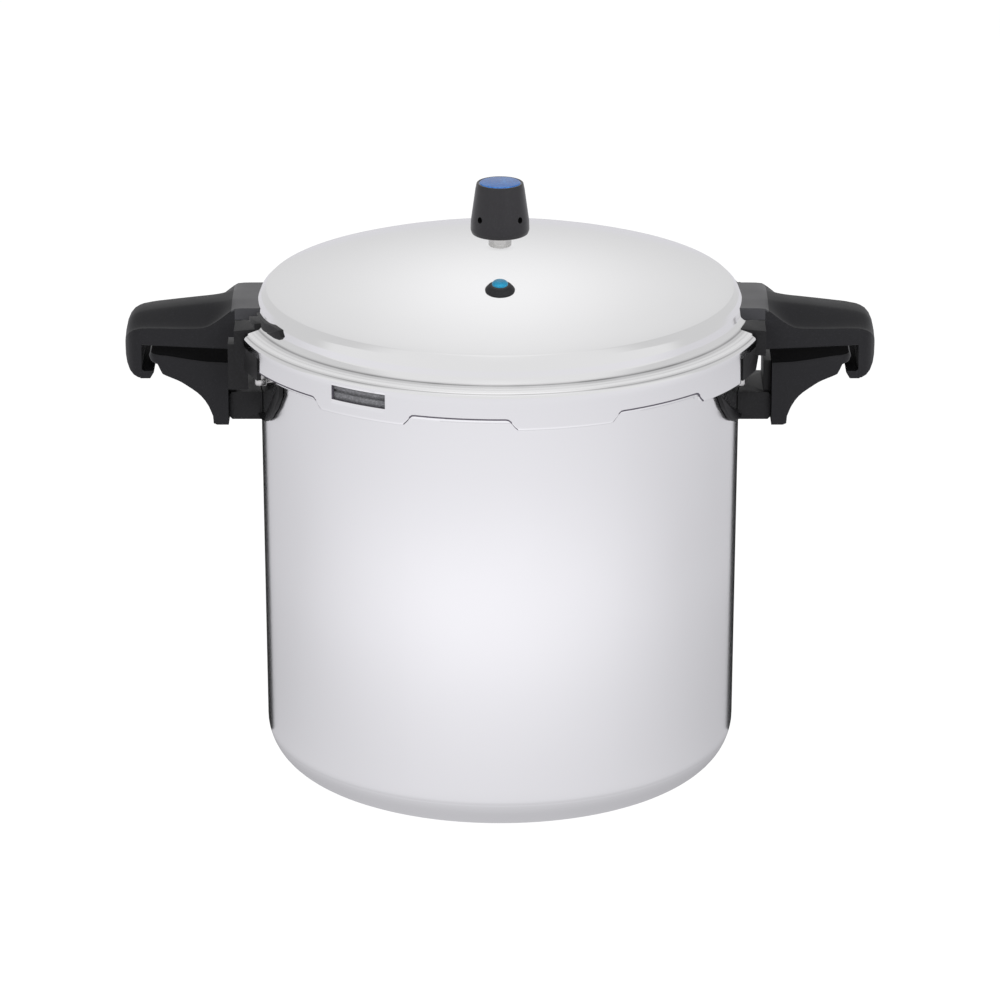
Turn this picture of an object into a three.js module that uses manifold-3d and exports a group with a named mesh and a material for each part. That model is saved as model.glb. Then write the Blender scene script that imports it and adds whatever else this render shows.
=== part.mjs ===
// Pressure canner: a drawn aluminium pot with a bayonet lid, double handles, a weighted regulator,
// a pressure indicator and a canning rack. Millimetres, +Z up, origin at the centre of the base.
// Azimuths are in degrees from +X, anticlockwise seen from above; the right handle points along +X.
import * as THREE from "three";
import { mergeVertices } from "three/addons/utils/BufferGeometryUtils.js";
import Module from "manifold-3d";

// ---------------------------------------------------------------- driving dimensions
const GAP = 0.35; // clearance between neighbouring pieces
const TURN_STEPS = 64; // facets round a large turned piece
const SMALL_STEPS = 24; // facets round a small turned piece

const WALL = 3; // pot wall thickness
const FLOOR = 4; // pot floor thickness
const POT_RADIUS = 160; // outer radius just under the rim
const POT_FOOT_RADIUS = 158.2; // outer radius above the base corner
const POT_CORNER = 31; // outer radius of the base corner
const RIM_TOP = 305;
const RIM_RADIUS = 166.2;
const RIM_ROOT = 290; // the wall starts to flare into the rim here

const LUG_PITCH = 45; // bayonet spacing round the rim
const LUG_START = -121; // azimuth of the first lug and tab
const LUG_HALF = 9; // half angle of a pot lug
const LUG_RADIUS = 172.6;
const LUG_BOTTOM = 292.3;
const LUG_TOP = 301;

const RACK_RADIUS = 140;
const RACK_BOTTOM = FLOOR + GAP;
const RACK_TOP = 19;
const RACK_HOLE = 10; // radius of its holes
const RACK_FINGER_HOLE = 14; // radius of its middle hole
const RACK_RINGS = [[55, 6], [100, 12]]; // distance from the axis and number of holes in each ring

const LID_WALL = 2.4;
const DOME_TOP = 360;
const CREASE_RADIUS = 156; // where the domed top meets the shoulder
const CREASE_Z = 333;
const SHOULDER_RADIUS = 161.4;
const FOOT_RADIUS = 166; // where the shoulder meets the flange
const FOOT_Z = 315.8;
const SKIRT_RADIUS = 176.6; // outer radius of the skirt
const BEND_Z = 310.6;
const SKIRT_BOTTOM = 295.7; // between the tabs
const TAB_BOTTOM = 288.8;
const TAB_HALF = 11.25; // half angle of a lid tab
const TAB_SLOPE = 0.9; // half of the angle over which the skirt's edge rises beside a tab
const LIP_RADIUS = 167.2; // inner radius of the lip under each tab
const LIP_WALL = 2.5;
const SKIRT_END = 26; // the skirt stops this far from each handle axis
const SKIRT_CUT_TOP = 307.6; // and there it is cut away up to this height
const FLANGE_TRIM = 16.6; // under the lid saddles the flange is trimmed to this half angle
const TRIM_RADIUS = 173.5;

const WINDOW_FROM = -128.1; // safety window in the first tab
const WINDOW_TO = -114.8;
const WINDOW_BOTTOM = 298.4;
const WINDOW_TOP = 308.2;

const RIVET_SHANK = 2.3; // radius of every rivet and bolt shank
const SCREW_SHANK = 2.2;

const POT_RIVETS = [-18.6, 18.6]; // azimuths from the handle axis
const POT_RIVET_Z = 283.4;
const POT_RIVET_TIP = 171.2; // top of the tall domed head
const POT_PLATE_INNER = POT_RADIUS + GAP;
const POT_PLATE_OUTER = 163.5;
const POT_PLATE_TOP = 287.6;
const NECK_HALF = 24; // half width of a pot saddle's neck
const NECK_TOP = 265.5;
const NECK_BOTTOM = 246.6;
const NECK_END = 180.7;
const POT_TONGUE_HALF = 14;
const POT_TONGUE_END = 189.6;
const POT_TONGUE_BOTTOM = 254;
const POT_TONGUE_TOP = 263.5;
const POT_GRIP_HALF = 28;
const POT_GRIP_NOSE = 13; // radius of the rounded corners at its tip
const POT_SCREW_X = 186;
const POT_SCREW_HEAD = 3.4;
const POT_SCREW_BOTTOM = 245.6;
const POT_SCREW_TOP = 261.4;

const SADDLE_HALF = 16.3; // half angle of the part of a lid saddle that covers the flange
const SADDLE_PLANE = 175.7; // flat outer face of a lid saddle
const CURTAIN_TOP = 306.8;
const CURTAIN_NOTCH = 303; // the curtain is cut up to here below the handle
const LEG_BOTTOM = 275.5; // the leg stops the lid against the pot's bracket
const LEG_OUTER = 180;
const LID_TONGUE_HALF = 12;
const LID_TONGUE_END = 198;
const LID_TONGUE_BOTTOM = 311.5;
const LID_TONGUE_TOP = 316.6;
const LID_SCREW_X = 188;
const LID_SCREW_HEAD = 4.2;
const LID_SCREW_BOTTOM = 297.9;
const LID_SCREW_TOP = 315;
const LID_FIXING_Z = 321;
const LID_BOLT_AZIMUTH = 0; // the bolt goes into the handle's block
const LID_BOLT_END = 170;
const LID_RIVET_AZIMUTH = 24; // the rivet goes into the saddle's wing
const LID_RIVET_END = 163.4;
const GRIP_HALF = 30; // half width of a lid handle
const BLOCK_BOTTOM = 317; // underside of the raised block of a lid handle
const BLOCK_TOP = 326;
const HOOK_HALF = 28.6; // half width of the hook at a lid handle's tip
const HOOK_NOSE = 14; // radius of the hook's rounded corners

const VENT_THREAD = 4;
const VENT_BORE = 1.3;
const VENT_BOTTOM = 347;
const VENT_SHOULDER = 370; // the spigot for the regulator starts here
const VENT_TOP = 379;
const NUT_RADIUS = 8;
const NUT_BOTTOM = 349;
const NUT_TOP = 354.6;
const WASHER_BOTTOM = 354.8;
const WASHER_TOP = 356.8;

const COVER_FOOT = 368.9;
const COVER_TOP = 404.2;
const COVER_CEILING = 398.8; // underside of the cover's roof
const COVER_RECESS = 401; // floor of the recess for the cap
const COVER_HOLE = 2.1; // radius of its side holes
const COVER_HOLE_Z = 381.6;
const COVER_HOLES = [-135, -45, 45, 135]; // azimuths of its side holes

const INDICATOR_REACH = 81; // distance of the pressure indicator from the lid's axis
const PIN_SHANK = 2.5;
const GROMMET_BORE = 2.9;
const GROMMET_NECK = 6;

// ---------------------------------------------------------------- materials
const aluminium = () => new THREE.MeshStandardMaterial({ color: 0xd9dade, roughness: 0.12, metalness: 1 });
const phenolic = () => new THREE.MeshStandardMaterial({ color: 0x2a2a2d, roughness: 0.5, metalness: 0 });
const enamel = () => new THREE.MeshStandardMaterial({ color: 0x343436, roughness: 0.6, metalness: 0.3 });
const rubber = () => new THREE.MeshStandardMaterial({ color: 0x1c1c1e, roughness: 0.8, metalness: 0 });
const steel = () => new THREE.MeshStandardMaterial({ color: 0xb9babf, roughness: 0.3, metalness: 1 });
const blueNylon = () => new THREE.MeshStandardMaterial({ color: 0x2b8fb5, roughness: 0.3, metalness: 0 });
const blueCap = () => new THREE.MeshStandardMaterial({ color: 0x4a7db5, roughness: 0.35, metalness: 0 });

// ---------------------------------------------------------------- solids
const wasm = await Module();
wasm.setup();

const radians = THREE.MathUtils.degToRad;

/** Six times the signed volume inside a list of triangles. */
function signedVolume(positions, triangles) {
  const corner = [new THREE.Vector3(), new THREE.Vector3(), new THREE.Vector3()];
  let total = 0;
  for (let t = 0; t < triangles.length; t += 3) {
    for (let k = 0; k < 3; k += 1) {
      corner[k].fromArray(positions, 3 * triangles[t + k]);
    }
    total += corner[0].dot(corner[1].cross(corner[2]));
  }
  return total;
}

/** A closed geometry as a solid that faces out. */
function solidOf(geometry) {
  const bare = geometry.clone();
  bare.deleteAttribute("normal");
  bare.deleteAttribute("uv");
  const merged = mergeVertices(bare, 1e-4);
  const positions = Float32Array.from(merged.getAttribute("position").array);
  const triangles = [];
  const index = merged.getIndex().array;
  for (let t = 0; t < index.length; t += 3) {
    const [a, b, c] = [index[t], index[t + 1], index[t + 2]];
    if (a !== b && b !== c && c !== a) {
      triangles.push(a, b, c);
    }
  }
  if (signedVolume(positions, triangles) < 0) {
    triangles.reverse();
  }
  return new wasm.Manifold(
    new wasm.Mesh({ numProp: 3, vertProperties: positions, triVerts: Uint32Array.from(triangles) }),
  );
}

/** A solid as a geometry for a mesh. */
function geometryOf(solid) {
  const mesh = solid.getMesh();
  const geometry = new THREE.BufferGeometry();
  geometry.setAttribute("position", new THREE.BufferAttribute(Float32Array.from(mesh.vertProperties), 3));
  geometry.setIndex(new THREE.BufferAttribute(Uint32Array.from(mesh.triVerts), 1));
  geometry.computeVertexNormals();
  return geometry;
}

/** Turned solid about +Z from [radius, z] points. */
function turned(points, steps = TURN_STEPS) {
  const profile = points.map(([r, z]) => new THREE.Vector2(r, z));
  const onAxis = points[0][0] === 0 && points.at(-1)[0] === 0;
  if (!onAxis) {
    profile.push(profile[0].clone());
  }
  return solidOf(new THREE.LatheGeometry(profile, steps).rotateX(Math.PI / 2));
}

/** Upright cylinder between two heights. */
function rod(radius, bottom, top, steps = SMALL_STEPS) {
  return turned([[0, bottom], [radius, bottom], [radius, top], [0, top]], steps);
}

/** Axis-aligned box between two corners. */
function block(from, to) {
  const size = to.map((value, k) => value - from[k]);
  const middle = to.map((value, k) => (value + from[k]) / 2);
  return solidOf(new THREE.BoxGeometry(...size).translate(...middle));
}

/** Points on an arc from one angle to another, in degrees, both ends included. */
function arc([cx, cy], radius, from, to, steps) {
  return Array.from({ length: steps + 1 }, (_, k) => {
    const angle = radians(from + ((to - from) * k) / steps);
    return [cx + radius * Math.cos(angle), cy + radius * Math.sin(angle)];
  });
}

/** Values from one limit to the other, both included, about a step apart. */
function spread(from, to, step = 3) {
  const count = Math.max(1, Math.round(Math.abs(to - from) / step));
  return Array.from({ length: count + 1 }, (_, k) => from + ((to - from) * k) / count);
}

/** Closed skin over matching rings of points: the first and last ring are capped flat. */
function skinned(rings, capTriangles) {
  const count = rings[0].length;
  const positions = rings.flat(2);
  const triangles = [];
  for (let ring = 0; ring + 1 < rings.length; ring += 1) {
    for (let k = 0; k < count; k += 1) {
      const a = ring * count + k;
      const b = ring * count + ((k + 1) % count);
      triangles.push(a, b, a + count, b, b + count, a + count);
    }
  }
  const last = (rings.length - 1) * count;
  for (const [a, b, c] of capTriangles) {
    triangles.push(c, b, a, last + a, last + b, last + c);
  }
  const geometry = new THREE.BufferGeometry();
  geometry.setAttribute("position", new THREE.Float32BufferAttribute(positions, 3));
  geometry.setIndex(triangles);
  return solidOf(geometry);
}

/** The outline of [u, v] points put anticlockwise, with the triangles that fill it. */
function filled(outline) {
  const points = outline.map(([u, v]) => new THREE.Vector2(u, v));
  if (THREE.ShapeUtils.isClockWise(points)) {
    points.reverse();
  }
  return { points, triangles: THREE.ShapeUtils.triangulateShape(points, []) };
}

/** Plate bent round the Z axis: an outline of [azimuth, z] points between two radii. */
function bentPlate(outline, inner, outer) {
  const { points, triangles } = filled(outline);
  const ring = (radius) => points.map((p) => [
    radius * Math.cos(radians(p.x)),
    radius * Math.sin(radians(p.x)),
    p.y,
  ]);
  return skinned([ring(inner), ring(outer)], triangles);
}

/** Ring sector: a bent plate with square corners and a point every few degrees. */
function sector(inner, outer, from, to, bottom, top) {
  const lower = spread(from, to).map((azimuth) => [azimuth, bottom]);
  const upper = spread(to, from).map((azimuth) => [azimuth, top]);
  return bentPlate([...lower, ...upper], inner, outer);
}

/** Outline of [x, z] points made into a solid between y = -half and y = +half. */
function slab(outline, half) {
  const { points, triangles } = filled(outline);
  const ring = (y) => points.map((p) => [p.x, y, p.y]);
  return skinned([ring(half), ring(-half)], triangles);
}

/** Outline of [x, y] points made into a solid between two heights. */
function column(outline, bottom, top) {
  const { points, triangles } = filled(outline);
  const ring = (z) => points.map((p) => [p.x, p.y, z]);
  return skinned([ring(bottom), ring(top)], triangles);
}

/** Solid lofted along +X through sections of { x, points: [[y, z], ...] }. */
function lofted(sections) {
  const { triangles } = filled(sections[0].points);
  const rings = sections.map(({ x, points }) => points.map(([y, z]) => [x, y, z]));
  return skinned(rings, triangles);
}

/** A rod laid along the radius at one azimuth and height; its own z becomes the radius. */
function radial(solid, azimuth, height) {
  return solid.rotate([0, 90, 0]).translate([0, 0, height]).rotate([0, 0, azimuth]);
}

// ---------------------------------------------------------------- scene graph
const canner = new THREE.Group();

/** Adds a named mesh of a solid to a parent group. */
function piece(name, solid, material, parent = canner) {
  const mesh = new THREE.Mesh(geometryOf(solid), material);
  mesh.name = name;
  parent.add(mesh);
  return mesh;
}

/** A group turned to face one side: the right side is as modelled, the left side is half a turn round. */
function sideGroup(side) {
  const group = new THREE.Group();
  group.rotation.z = side === "left" ? Math.PI : 0;
  canner.add(group);
  return group;
}

// ---------------------------------------------------------------- pot
function potBody() {
  const outerCorner = arc([POT_FOOT_RADIUS - POT_CORNER, POT_CORNER], POT_CORNER, -90, 0, 5);
  const innerCorner = arc(
    [POT_FOOT_RADIUS - POT_CORNER, POT_CORNER],
    POT_CORNER - WALL,
    0,
    -90,
    5,
  ).map(([r, z]) => [r, Math.max(z, FLOOR)]);
  const shell = turned([
    [0, 0],
    ...outerCorner,
    [POT_RADIUS, RIM_ROOT],
    [161.2, 296],
    [RIM_RADIUS, 299.8],
    [RIM_RADIUS, RIM_TOP - 1],
    [RIM_RADIUS - 1, RIM_TOP],
    [POT_RADIUS - WALL, RIM_TOP],
    [POT_RADIUS - WALL, RIM_ROOT],
    ...innerCorner,
    [0, FLOOR],
  ]);
  let pot = shell;
  for (let azimuth = LUG_START; azimuth < LUG_START + 360; azimuth += LUG_PITCH) {
    pot = pot.add(sector(
      RIM_RADIUS - 2,
      LUG_RADIUS,
      azimuth - LUG_HALF,
      azimuth + LUG_HALF,
      LUG_BOTTOM,
      LUG_TOP,
    ));
  }
  for (const side of [0, 180]) {
    for (const offset of POT_RIVETS) {
      const bore = rod(RIVET_SHANK + GAP, POT_RADIUS - 10, POT_RADIUS + 10, 12);
      pot = pot.subtract(radial(bore, side + offset, POT_RIVET_Z));
    }
  }
  return pot;
}

function potSaddle() {
  const rightEdge = [
    [6, 250], [12, 250.6], [17, 252.8], [20.3, 257.5], [24.4, 268], [27, 278], [27.4, POT_PLATE_TOP],
  ];
  const leftEdge = rightEdge.map(([azimuth, z]) => [-azimuth, z]).reverse();
  const topEdge = spread(22, -22, 6).map((azimuth) => [azimuth, POT_PLATE_TOP]);
  const plate = bentPlate([...rightEdge, ...topEdge, ...leftEdge], POT_PLATE_INNER, POT_PLATE_OUTER);
  const neck = slab([
    [150, NECK_BOTTOM], [NECK_END - 2, NECK_BOTTOM], [NECK_END, NECK_BOTTOM + 2],
    [NECK_END, NECK_TOP - 2], [NECK_END - 2, NECK_TOP], [150, NECK_TOP],
  ], NECK_HALF);
  const endPlate = block([NECK_END - 5, -20, 255], [NECK_END, 20, 286.6]);
  const tongue = block(
    [170, -POT_TONGUE_HALF, POT_TONGUE_BOTTOM],
    [POT_TONGUE_END, POT_TONGUE_HALF, POT_TONGUE_TOP],
  );
  let saddle = plate.add(neck).add(endPlate).add(tongue);
  saddle = saddle.subtract(rod(POT_PLATE_INNER + 0.2, 200, 300, TURN_STEPS));
  saddle = saddle.subtract(rod(SCREW_SHANK + GAP, 240, 262, 12).translate([POT_SCREW_X, 0, 0]));
  for (const offset of POT_RIVETS) {
    saddle = saddle.subtract(radial(rod(RIVET_SHANK + GAP, 150, 170, 12), offset, POT_RIVET_Z));
  }
  return saddle;
}

/** Rivet through a wall: the flat head is inside, the tall domed head outside; its own z is the radius. */
function rivet(headInner, shankEnd, domeTop) {
  return turned([
    [0, headInner], [3.6, headInner], [4.6, headInner + 1.2], [4.6, headInner + 2],
    [RIVET_SHANK, headInner + 2], [RIVET_SHANK, shankEnd], [4.1, shankEnd],
    [4.1, domeTop - 3.6], [2.9, domeTop - 1], [0, domeTop],
  ], 12);
}

/** Screw with a pan head at the bottom and its shank upward. */
function screw(bottom, top, head) {
  return turned([
    [0, bottom], [head - 1, bottom], [head, bottom + 0.8], [head, bottom + 2.6],
    [SCREW_SHANK, bottom + 2.6], [SCREW_SHANK, top], [0, top],
  ], 12);
}

function potGrip() {
  const inner = NECK_END + GAP;
  const outline = [
    [inner, 243.4], [189.5, 243.4], [191.4, 245.2], [191.7, 251.5],
    [194.5, 258], [198.2, 262.8], [202.8, 266.9], [212.5, 273.3], [222, 277.6],
    [225.6, 279.2], [227.2, 284.6], [232.6, 286.2], [234, 289], [232.2, 291.8], [224, 292.1],
    [213.7, 291], [205, 289.2], [195, 287.8], [inner, 287.1],
  ];
  const half = POT_GRIP_HALF;
  const nose = POT_GRIP_NOSE;
  const plan = [
    [170, -half], [222, -half], ...arc([221, -half + nose], nose, -75, 0, 4),
    ...arc([221, half - nose], nose, 0, 75, 4), [222, half], [170, half],
  ];
  let grip = slab(outline, half).intersect(column(plan, 240, 300));
  grip = grip.subtract(block(
    [170, -POT_TONGUE_HALF - GAP, POT_TONGUE_BOTTOM - GAP],
    [POT_TONGUE_END + GAP, POT_TONGUE_HALF + GAP, POT_TONGUE_TOP + GAP],
  ));
  grip = grip.subtract(rod(SCREW_SHANK + GAP, 240, 255, 12).translate([POT_SCREW_X, 0, 0]));
  return grip.subtract(rod(POT_SCREW_HEAD + GAP, 240, 249, 12).translate([POT_SCREW_X, 0, 0]));
}

piece("pot_body", potBody(), aluminium());
for (const side of ["left", "right"]) {
  const group = sideGroup(side);
  piece(`pot_saddle_${side}`, potSaddle(), enamel(), group);
  piece(`pot_handle_${side}`, potGrip(), phenolic(), group);
  const potScrew = screw(POT_SCREW_BOTTOM, POT_SCREW_TOP, POT_SCREW_HEAD).translate([POT_SCREW_X, 0, 0]);
  piece(`pot_handle_screw_${side}`, potScrew, steel(), group);
  POT_RIVETS.forEach((offset, k) => {
    const wallRivet = rivet(154.4, POT_PLATE_OUTER + GAP, POT_RIVET_TIP);
    piece(`pot_saddle_rivet_${side}_${k + 1}`, radial(wallRivet, offset, POT_RIVET_Z), steel(), group);
  });
}

// ---------------------------------------------------------------- canning rack
function canningRack() {
  let rack = turned([
    [0, RACK_TOP - 2], [RACK_RADIUS - 6, RACK_TOP - 2], [RACK_RADIUS - 4, RACK_TOP - 4],
    [RACK_RADIUS - 14, RACK_BOTTOM], [RACK_RADIUS - 12, RACK_BOTTOM],
    [RACK_RADIUS - 1, RACK_TOP - 4], [RACK_RADIUS - 3, RACK_TOP], [0, RACK_TOP],
  ], 40);
  rack = rack.subtract(rod(RACK_FINGER_HOLE, 0, 40, 12));
  for (const [reach, count] of RACK_RINGS) {
    for (let k = 0; k < count; k += 1) {
      const angle = (2 * Math.PI * k) / count;
      const hole = rod(RACK_HOLE, 0, 40, 8);
      rack = rack.subtract(hole.translate([reach * Math.cos(angle), reach * Math.sin(angle), 0]));
    }
  }
  return rack;
}

piece("canning_rack", canningRack(), aluminium());

// ---------------------------------------------------------------- sealing gasket
piece("sealing_gasket", turned([
  [158.6, RIM_TOP + 0.4], [167.4, RIM_TOP + 0.4], [168.4, 302.4], [173.6, 302.4],
  [173.6, 308.6], [171.4, 310.6], [163.5, 312.2], [159, 310],
]), rubber());

// ---------------------------------------------------------------- lid
const DOME_SPHERE = (CREASE_RADIUS ** 2 + (DOME_TOP - CREASE_Z) ** 2) / (2 * (DOME_TOP - CREASE_Z));
const DOME_CENTRE = DOME_TOP - DOME_SPHERE;

/** Height of the dome's outer face at one radius. */
const domeHeight = (r) => DOME_CENTRE + Math.sqrt(DOME_SPHERE ** 2 - r ** 2);

/** Outer face of the lid from the axis to the skirt, grown outward by a clearance. */
function lidOuter(grow) {
  const cap = [0, 40, 80, 115, 142].map((r) => [r, domeHeight(r) + grow]);
  return [
    ...cap,
    [CREASE_RADIUS + grow * 0.5, CREASE_Z + grow],
    [159.6 + grow, 329.4 + grow * 0.5],
    [SHOULDER_RADIUS + grow, 324.5],
    [SHOULDER_RADIUS + 0.6 + grow, 319.4],
    [FOOT_RADIUS, FOOT_Z + grow],
    [TRIM_RADIUS - 0.5, 313.9 + grow],
  ];
}

function lidShell() {
  const outer = [
    ...lidOuter(0),
    [SKIRT_RADIUS - 0.7, 312.4],
    [SKIRT_RADIUS, BEND_Z],
    [SKIRT_RADIUS, TAB_BOTTOM],
    [LIP_RADIUS, TAB_BOTTOM],
    [LIP_RADIUS, TAB_BOTTOM + LIP_WALL],
    [SKIRT_RADIUS - LID_WALL, TAB_BOTTOM + LIP_WALL],
  ];
  const inner = [
    [SKIRT_RADIUS - LID_WALL - 0.4, 310.6],
    [FOOT_RADIUS, 313.1],
    [161, 314.2],
    [159.2, 317],
    [SHOULDER_RADIUS - LID_WALL - 0.2, 324],
    [157.2, 328.2],
    [154.2, 330.9],
    ...[142, 115, 80, 40, 0].map((r) => [r, domeHeight(r) - LID_WALL]),
  ];
  let lid = turned([...outer, ...inner]);
  for (const half of [0, 180]) {
    // Between the tabs the skirt is shorter and has no lip.
    const tabs = [0, 1, 2].map((k) => LUG_START + half + k * LUG_PITCH);
    const skirtFrom = -180 + SKIRT_END + half;
    const notches = [
      [skirtFrom - 1, tabs[0] - TAB_HALF],
      [tabs[0] + TAB_HALF, tabs[1] - TAB_HALF],
      [tabs[1] + TAB_HALF, tabs[2] - TAB_HALF],
    ];
    for (const [from, to] of notches) {
      const lower = spread(from - TAB_SLOPE, to + TAB_SLOPE).map((azimuth) => [azimuth, 285]);
      const upper = spread(to - TAB_SLOPE, from + TAB_SLOPE).map((azimuth) => [azimuth, SKIRT_BOTTOM]);
      lid = lid.subtract(bentPlate([...lower, ...upper], 160, 190));
    }
    lid = lid.subtract(sector(160, 190, half - SKIRT_END, half + SKIRT_END, 280, SKIRT_CUT_TOP));
    lid = lid.subtract(sector(TRIM_RADIUS, 190, half - FLANGE_TRIM, half + FLANGE_TRIM, 280, 330));
    for (const offset of [LID_BOLT_AZIMUTH, LID_RIVET_AZIMUTH]) {
      const bore = rod(RIVET_SHANK + GAP, 150, 170, 12);
      lid = lid.subtract(radial(bore, half + offset, LID_FIXING_Z));
    }
  }
  lid = lid.subtract(sector(170, 185, WINDOW_FROM, WINDOW_TO, WINDOW_BOTTOM, WINDOW_TOP));
  lid = lid.subtract(rod(VENT_THREAD + GAP, 340, 370));
  return lid.subtract(onDome(rod(GROMMET_NECK + GAP, -10, 10)));
}

/** Everything inside the lid's outer face and the trimmed flange, as a cutter for what sits on it. */
function lidEnvelope() {
  return turned([...lidOuter(GAP), [TRIM_RADIUS + GAP, 313.4], [TRIM_RADIUS + GAP, 270], [0, 270]]);
}

// ---------------------------------------------------------------- lid saddles, handles and fixings
function lidSaddle() {
  const band = bentPlate([
    ...spread(-10, 15, 5).map((azimuth) => [azimuth, 312]),
    [18, 314.5], [21.5, 317.8], [26, 318.2], [28.6, 319.2], [29.6, 321.8], [28.4, 325.6],
    [24, 325.6], [20, 323.8],
    ...spread(15, -10, 5).map((azimuth) => [azimuth, 323]),
  ], 158, 164.7);
  const shelf = sector(163, 190, -SADDLE_HALF, SADDLE_HALF, 311, BLOCK_BOTTOM - GAP);
  const drop = sector(172, 190, -SADDLE_HALF, SADDLE_HALF, 299.5, 314);
  const curtain = bentPlate([
    [-25.2, 290], [-20, 289.6], [-16.4, 289.4],
    ...spread(-12, 10, 5).map((azimuth) => [azimuth, CURTAIN_NOTCH]),
    [12, 289.6], [18, 289.4], [25.2, 290],
    ...spread(25.2, -25.2, 5).map((azimuth) => [azimuth, CURTAIN_TOP]),
  ], 172, SKIRT_RADIUS);
  const reach = block([120, -100, 280], [SADDLE_PLANE, 100, 340]);
  const leg = block([160, GRIP_HALF + 3, LEG_BOTTOM], [LEG_OUTER, 49, CURTAIN_TOP]);
  const root = sector(163, 169, 9, SADDLE_HALF, 314, 320.5);
  let saddle = band.add(root).add(shelf).add(drop).add(curtain).intersect(reach).add(leg);
  saddle = saddle.add(block(
    [166, -LID_TONGUE_HALF, LID_TONGUE_BOTTOM],
    [LID_TONGUE_END, LID_TONGUE_HALF, LID_TONGUE_TOP],
  ));
  saddle = saddle.subtract(lidEnvelope());
  saddle = saddle.subtract(block(
    [150, -GRIP_HALF - GAP, BLOCK_BOTTOM - GAP],
    [200, GRIP_HALF + GAP, 340],
  ));
  saddle = saddle.subtract(rod(SCREW_SHANK + GAP, 300, 315.6, 12).translate([LID_SCREW_X, 0, 0]));
  const bore = rod(RIVET_SHANK + GAP, 150, LID_RIVET_END + GAP, 12);
  return saddle.subtract(radial(bore, LID_RIVET_AZIMUTH, LID_FIXING_Z));
}

/** Section of the lid handle: flat underside, upright sides, a sloped flank up to a narrow crown. */
function gripSection(x, bottom, edge, crown, half) {
  const rise = crown - edge;
  const flank = [
    [half, edge - 0.8],
    [half - 1.2, edge + 0.1],
    [half * 0.74, edge + rise * 0.26],
    [half * 0.52, edge + rise * 0.65],
    [half * 0.36, edge + rise * 0.92],
    [half * 0.26, crown],
  ];
  const mirrored = flank.map(([y, z]) => [-y, z]).reverse();
  const points = [
    [-half + 1.5, bottom], [half - 1.5, bottom], [half, bottom + 1.5],
    ...flank, ...mirrored, [-half, bottom + 1.5],
  ];
  return { x, points };
}

function lidGrip() {
  const grip = lofted([
    gripSection(SADDLE_PLANE + GAP, 296.8, BLOCK_TOP - 0.8, BLOCK_TOP + 0.2, GRIP_HALF),
    gripSection(178.2, 296.9, 323.9, BLOCK_TOP, GRIP_HALF),
    gripSection(181.5, 297.1, 321.4, 325.3, GRIP_HALF),
    gripSection(187, 297.3, 317.1, 324.2, GRIP_HALF),
    gripSection(191.5, 297.5, 314.2, 323.6, GRIP_HALF),
    gripSection(196, 297.7, 312.1, 323, GRIP_HALF),
    gripSection(215, 298.6, 311.6, 321, GRIP_HALF),
    gripSection(230, 299.3, 311.6, 319.4, 29.6),
    gripSection(238, 299.6, 311, 317.8, 28.4),
    gripSection(243.5, 299.6, 309.4, 315.4, 26),
    gripSection(247.2, 299.6, 306.4, 311.4, 22),
    gripSection(249.2, 299.6, 303.4, 306.8, 17),
  ]);
  const hookOutline = [
    [232.8, 276], [239, 276], [244, 277.6], [247.6, 281.2], [249.4, 286.4],
    [250, 292], [249.7, 299], [248.6, 304], [244, 305], [236, 304],
    [236.5, 301], [238, 298.6], [238.4, 284], [236.6, 281.5], [230.4, 281.8], [230.2, 280.6],
  ];
  const plan = [
    [225, -HOOK_HALF], [232, -HOOK_HALF + 0.4],
    ...arc([236, -HOOK_NOSE], HOOK_NOSE, -78, 0, 5), ...arc([236, HOOK_NOSE], HOOK_NOSE, 0, 78, 5),
    [232, HOOK_HALF - 0.4], [225, HOOK_HALF],
  ];
  const hook = slab(hookOutline, HOOK_HALF).intersect(column(plan, 270, 306));
  const inner = lofted([
    gripSection(150, BLOCK_BOTTOM, BLOCK_TOP - 0.6, BLOCK_TOP, GRIP_HALF),
    gripSection(178.2, BLOCK_BOTTOM, BLOCK_TOP - 0.6, BLOCK_TOP, GRIP_HALF),
  ]);
  let handle = grip.add(hook).add(inner).subtract(lidEnvelope());
  handle = handle.subtract(block(
    [170, -LID_TONGUE_HALF - GAP, LID_TONGUE_BOTTOM - GAP],
    [LID_TONGUE_END + GAP, LID_TONGUE_HALF + GAP, LID_TONGUE_TOP + GAP],
  ));
  handle = handle.subtract(rod(SCREW_SHANK + GAP, 290, 313, 12).translate([LID_SCREW_X, 0, 0]));
  handle = handle.subtract(rod(LID_SCREW_HEAD + GAP, 290, 301, 12).translate([LID_SCREW_X, 0, 0]));
  const bore = rod(RIVET_SHANK + GAP, 150, LID_BOLT_END + GAP, 12);
  return handle.subtract(radial(bore, LID_BOLT_AZIMUTH, LID_FIXING_Z));
}

/** Fixing through the lid's wall: the head is inside and the shank ends blind; its own z is the radius. */
function lidFixing(end) {
  return turned([
    [0, 156.2], [3.2, 156.2], [4, 157], [4, 158.1], [RIVET_SHANK, 158.1],
    [RIVET_SHANK, end], [0, end],
  ], 12);
}

// ---------------------------------------------------------------- vent pipe and regulator
function ventPipe() {
  return turned([
    [VENT_BORE, VENT_BOTTOM], [VENT_THREAD, VENT_BOTTOM], [VENT_THREAD, DOME_TOP + GAP],
    [7.2, DOME_TOP + GAP], [7.2, DOME_TOP + 2], [6.4, DOME_TOP + 2.4], [6.4, VENT_SHOULDER - 1.6],
    [5.6, VENT_SHOULDER - 0.8], [3.4, VENT_SHOULDER], [3.4, VENT_TOP], [VENT_BORE, VENT_TOP],
  ], SMALL_STEPS);
}

function ventNut() {
  const hexagon = arc([0, 0], NUT_RADIUS, 0, 300, 5);
  return column(hexagon, NUT_BOTTOM, NUT_TOP).subtract(rod(VENT_THREAD + GAP, 340, 360));
}

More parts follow.
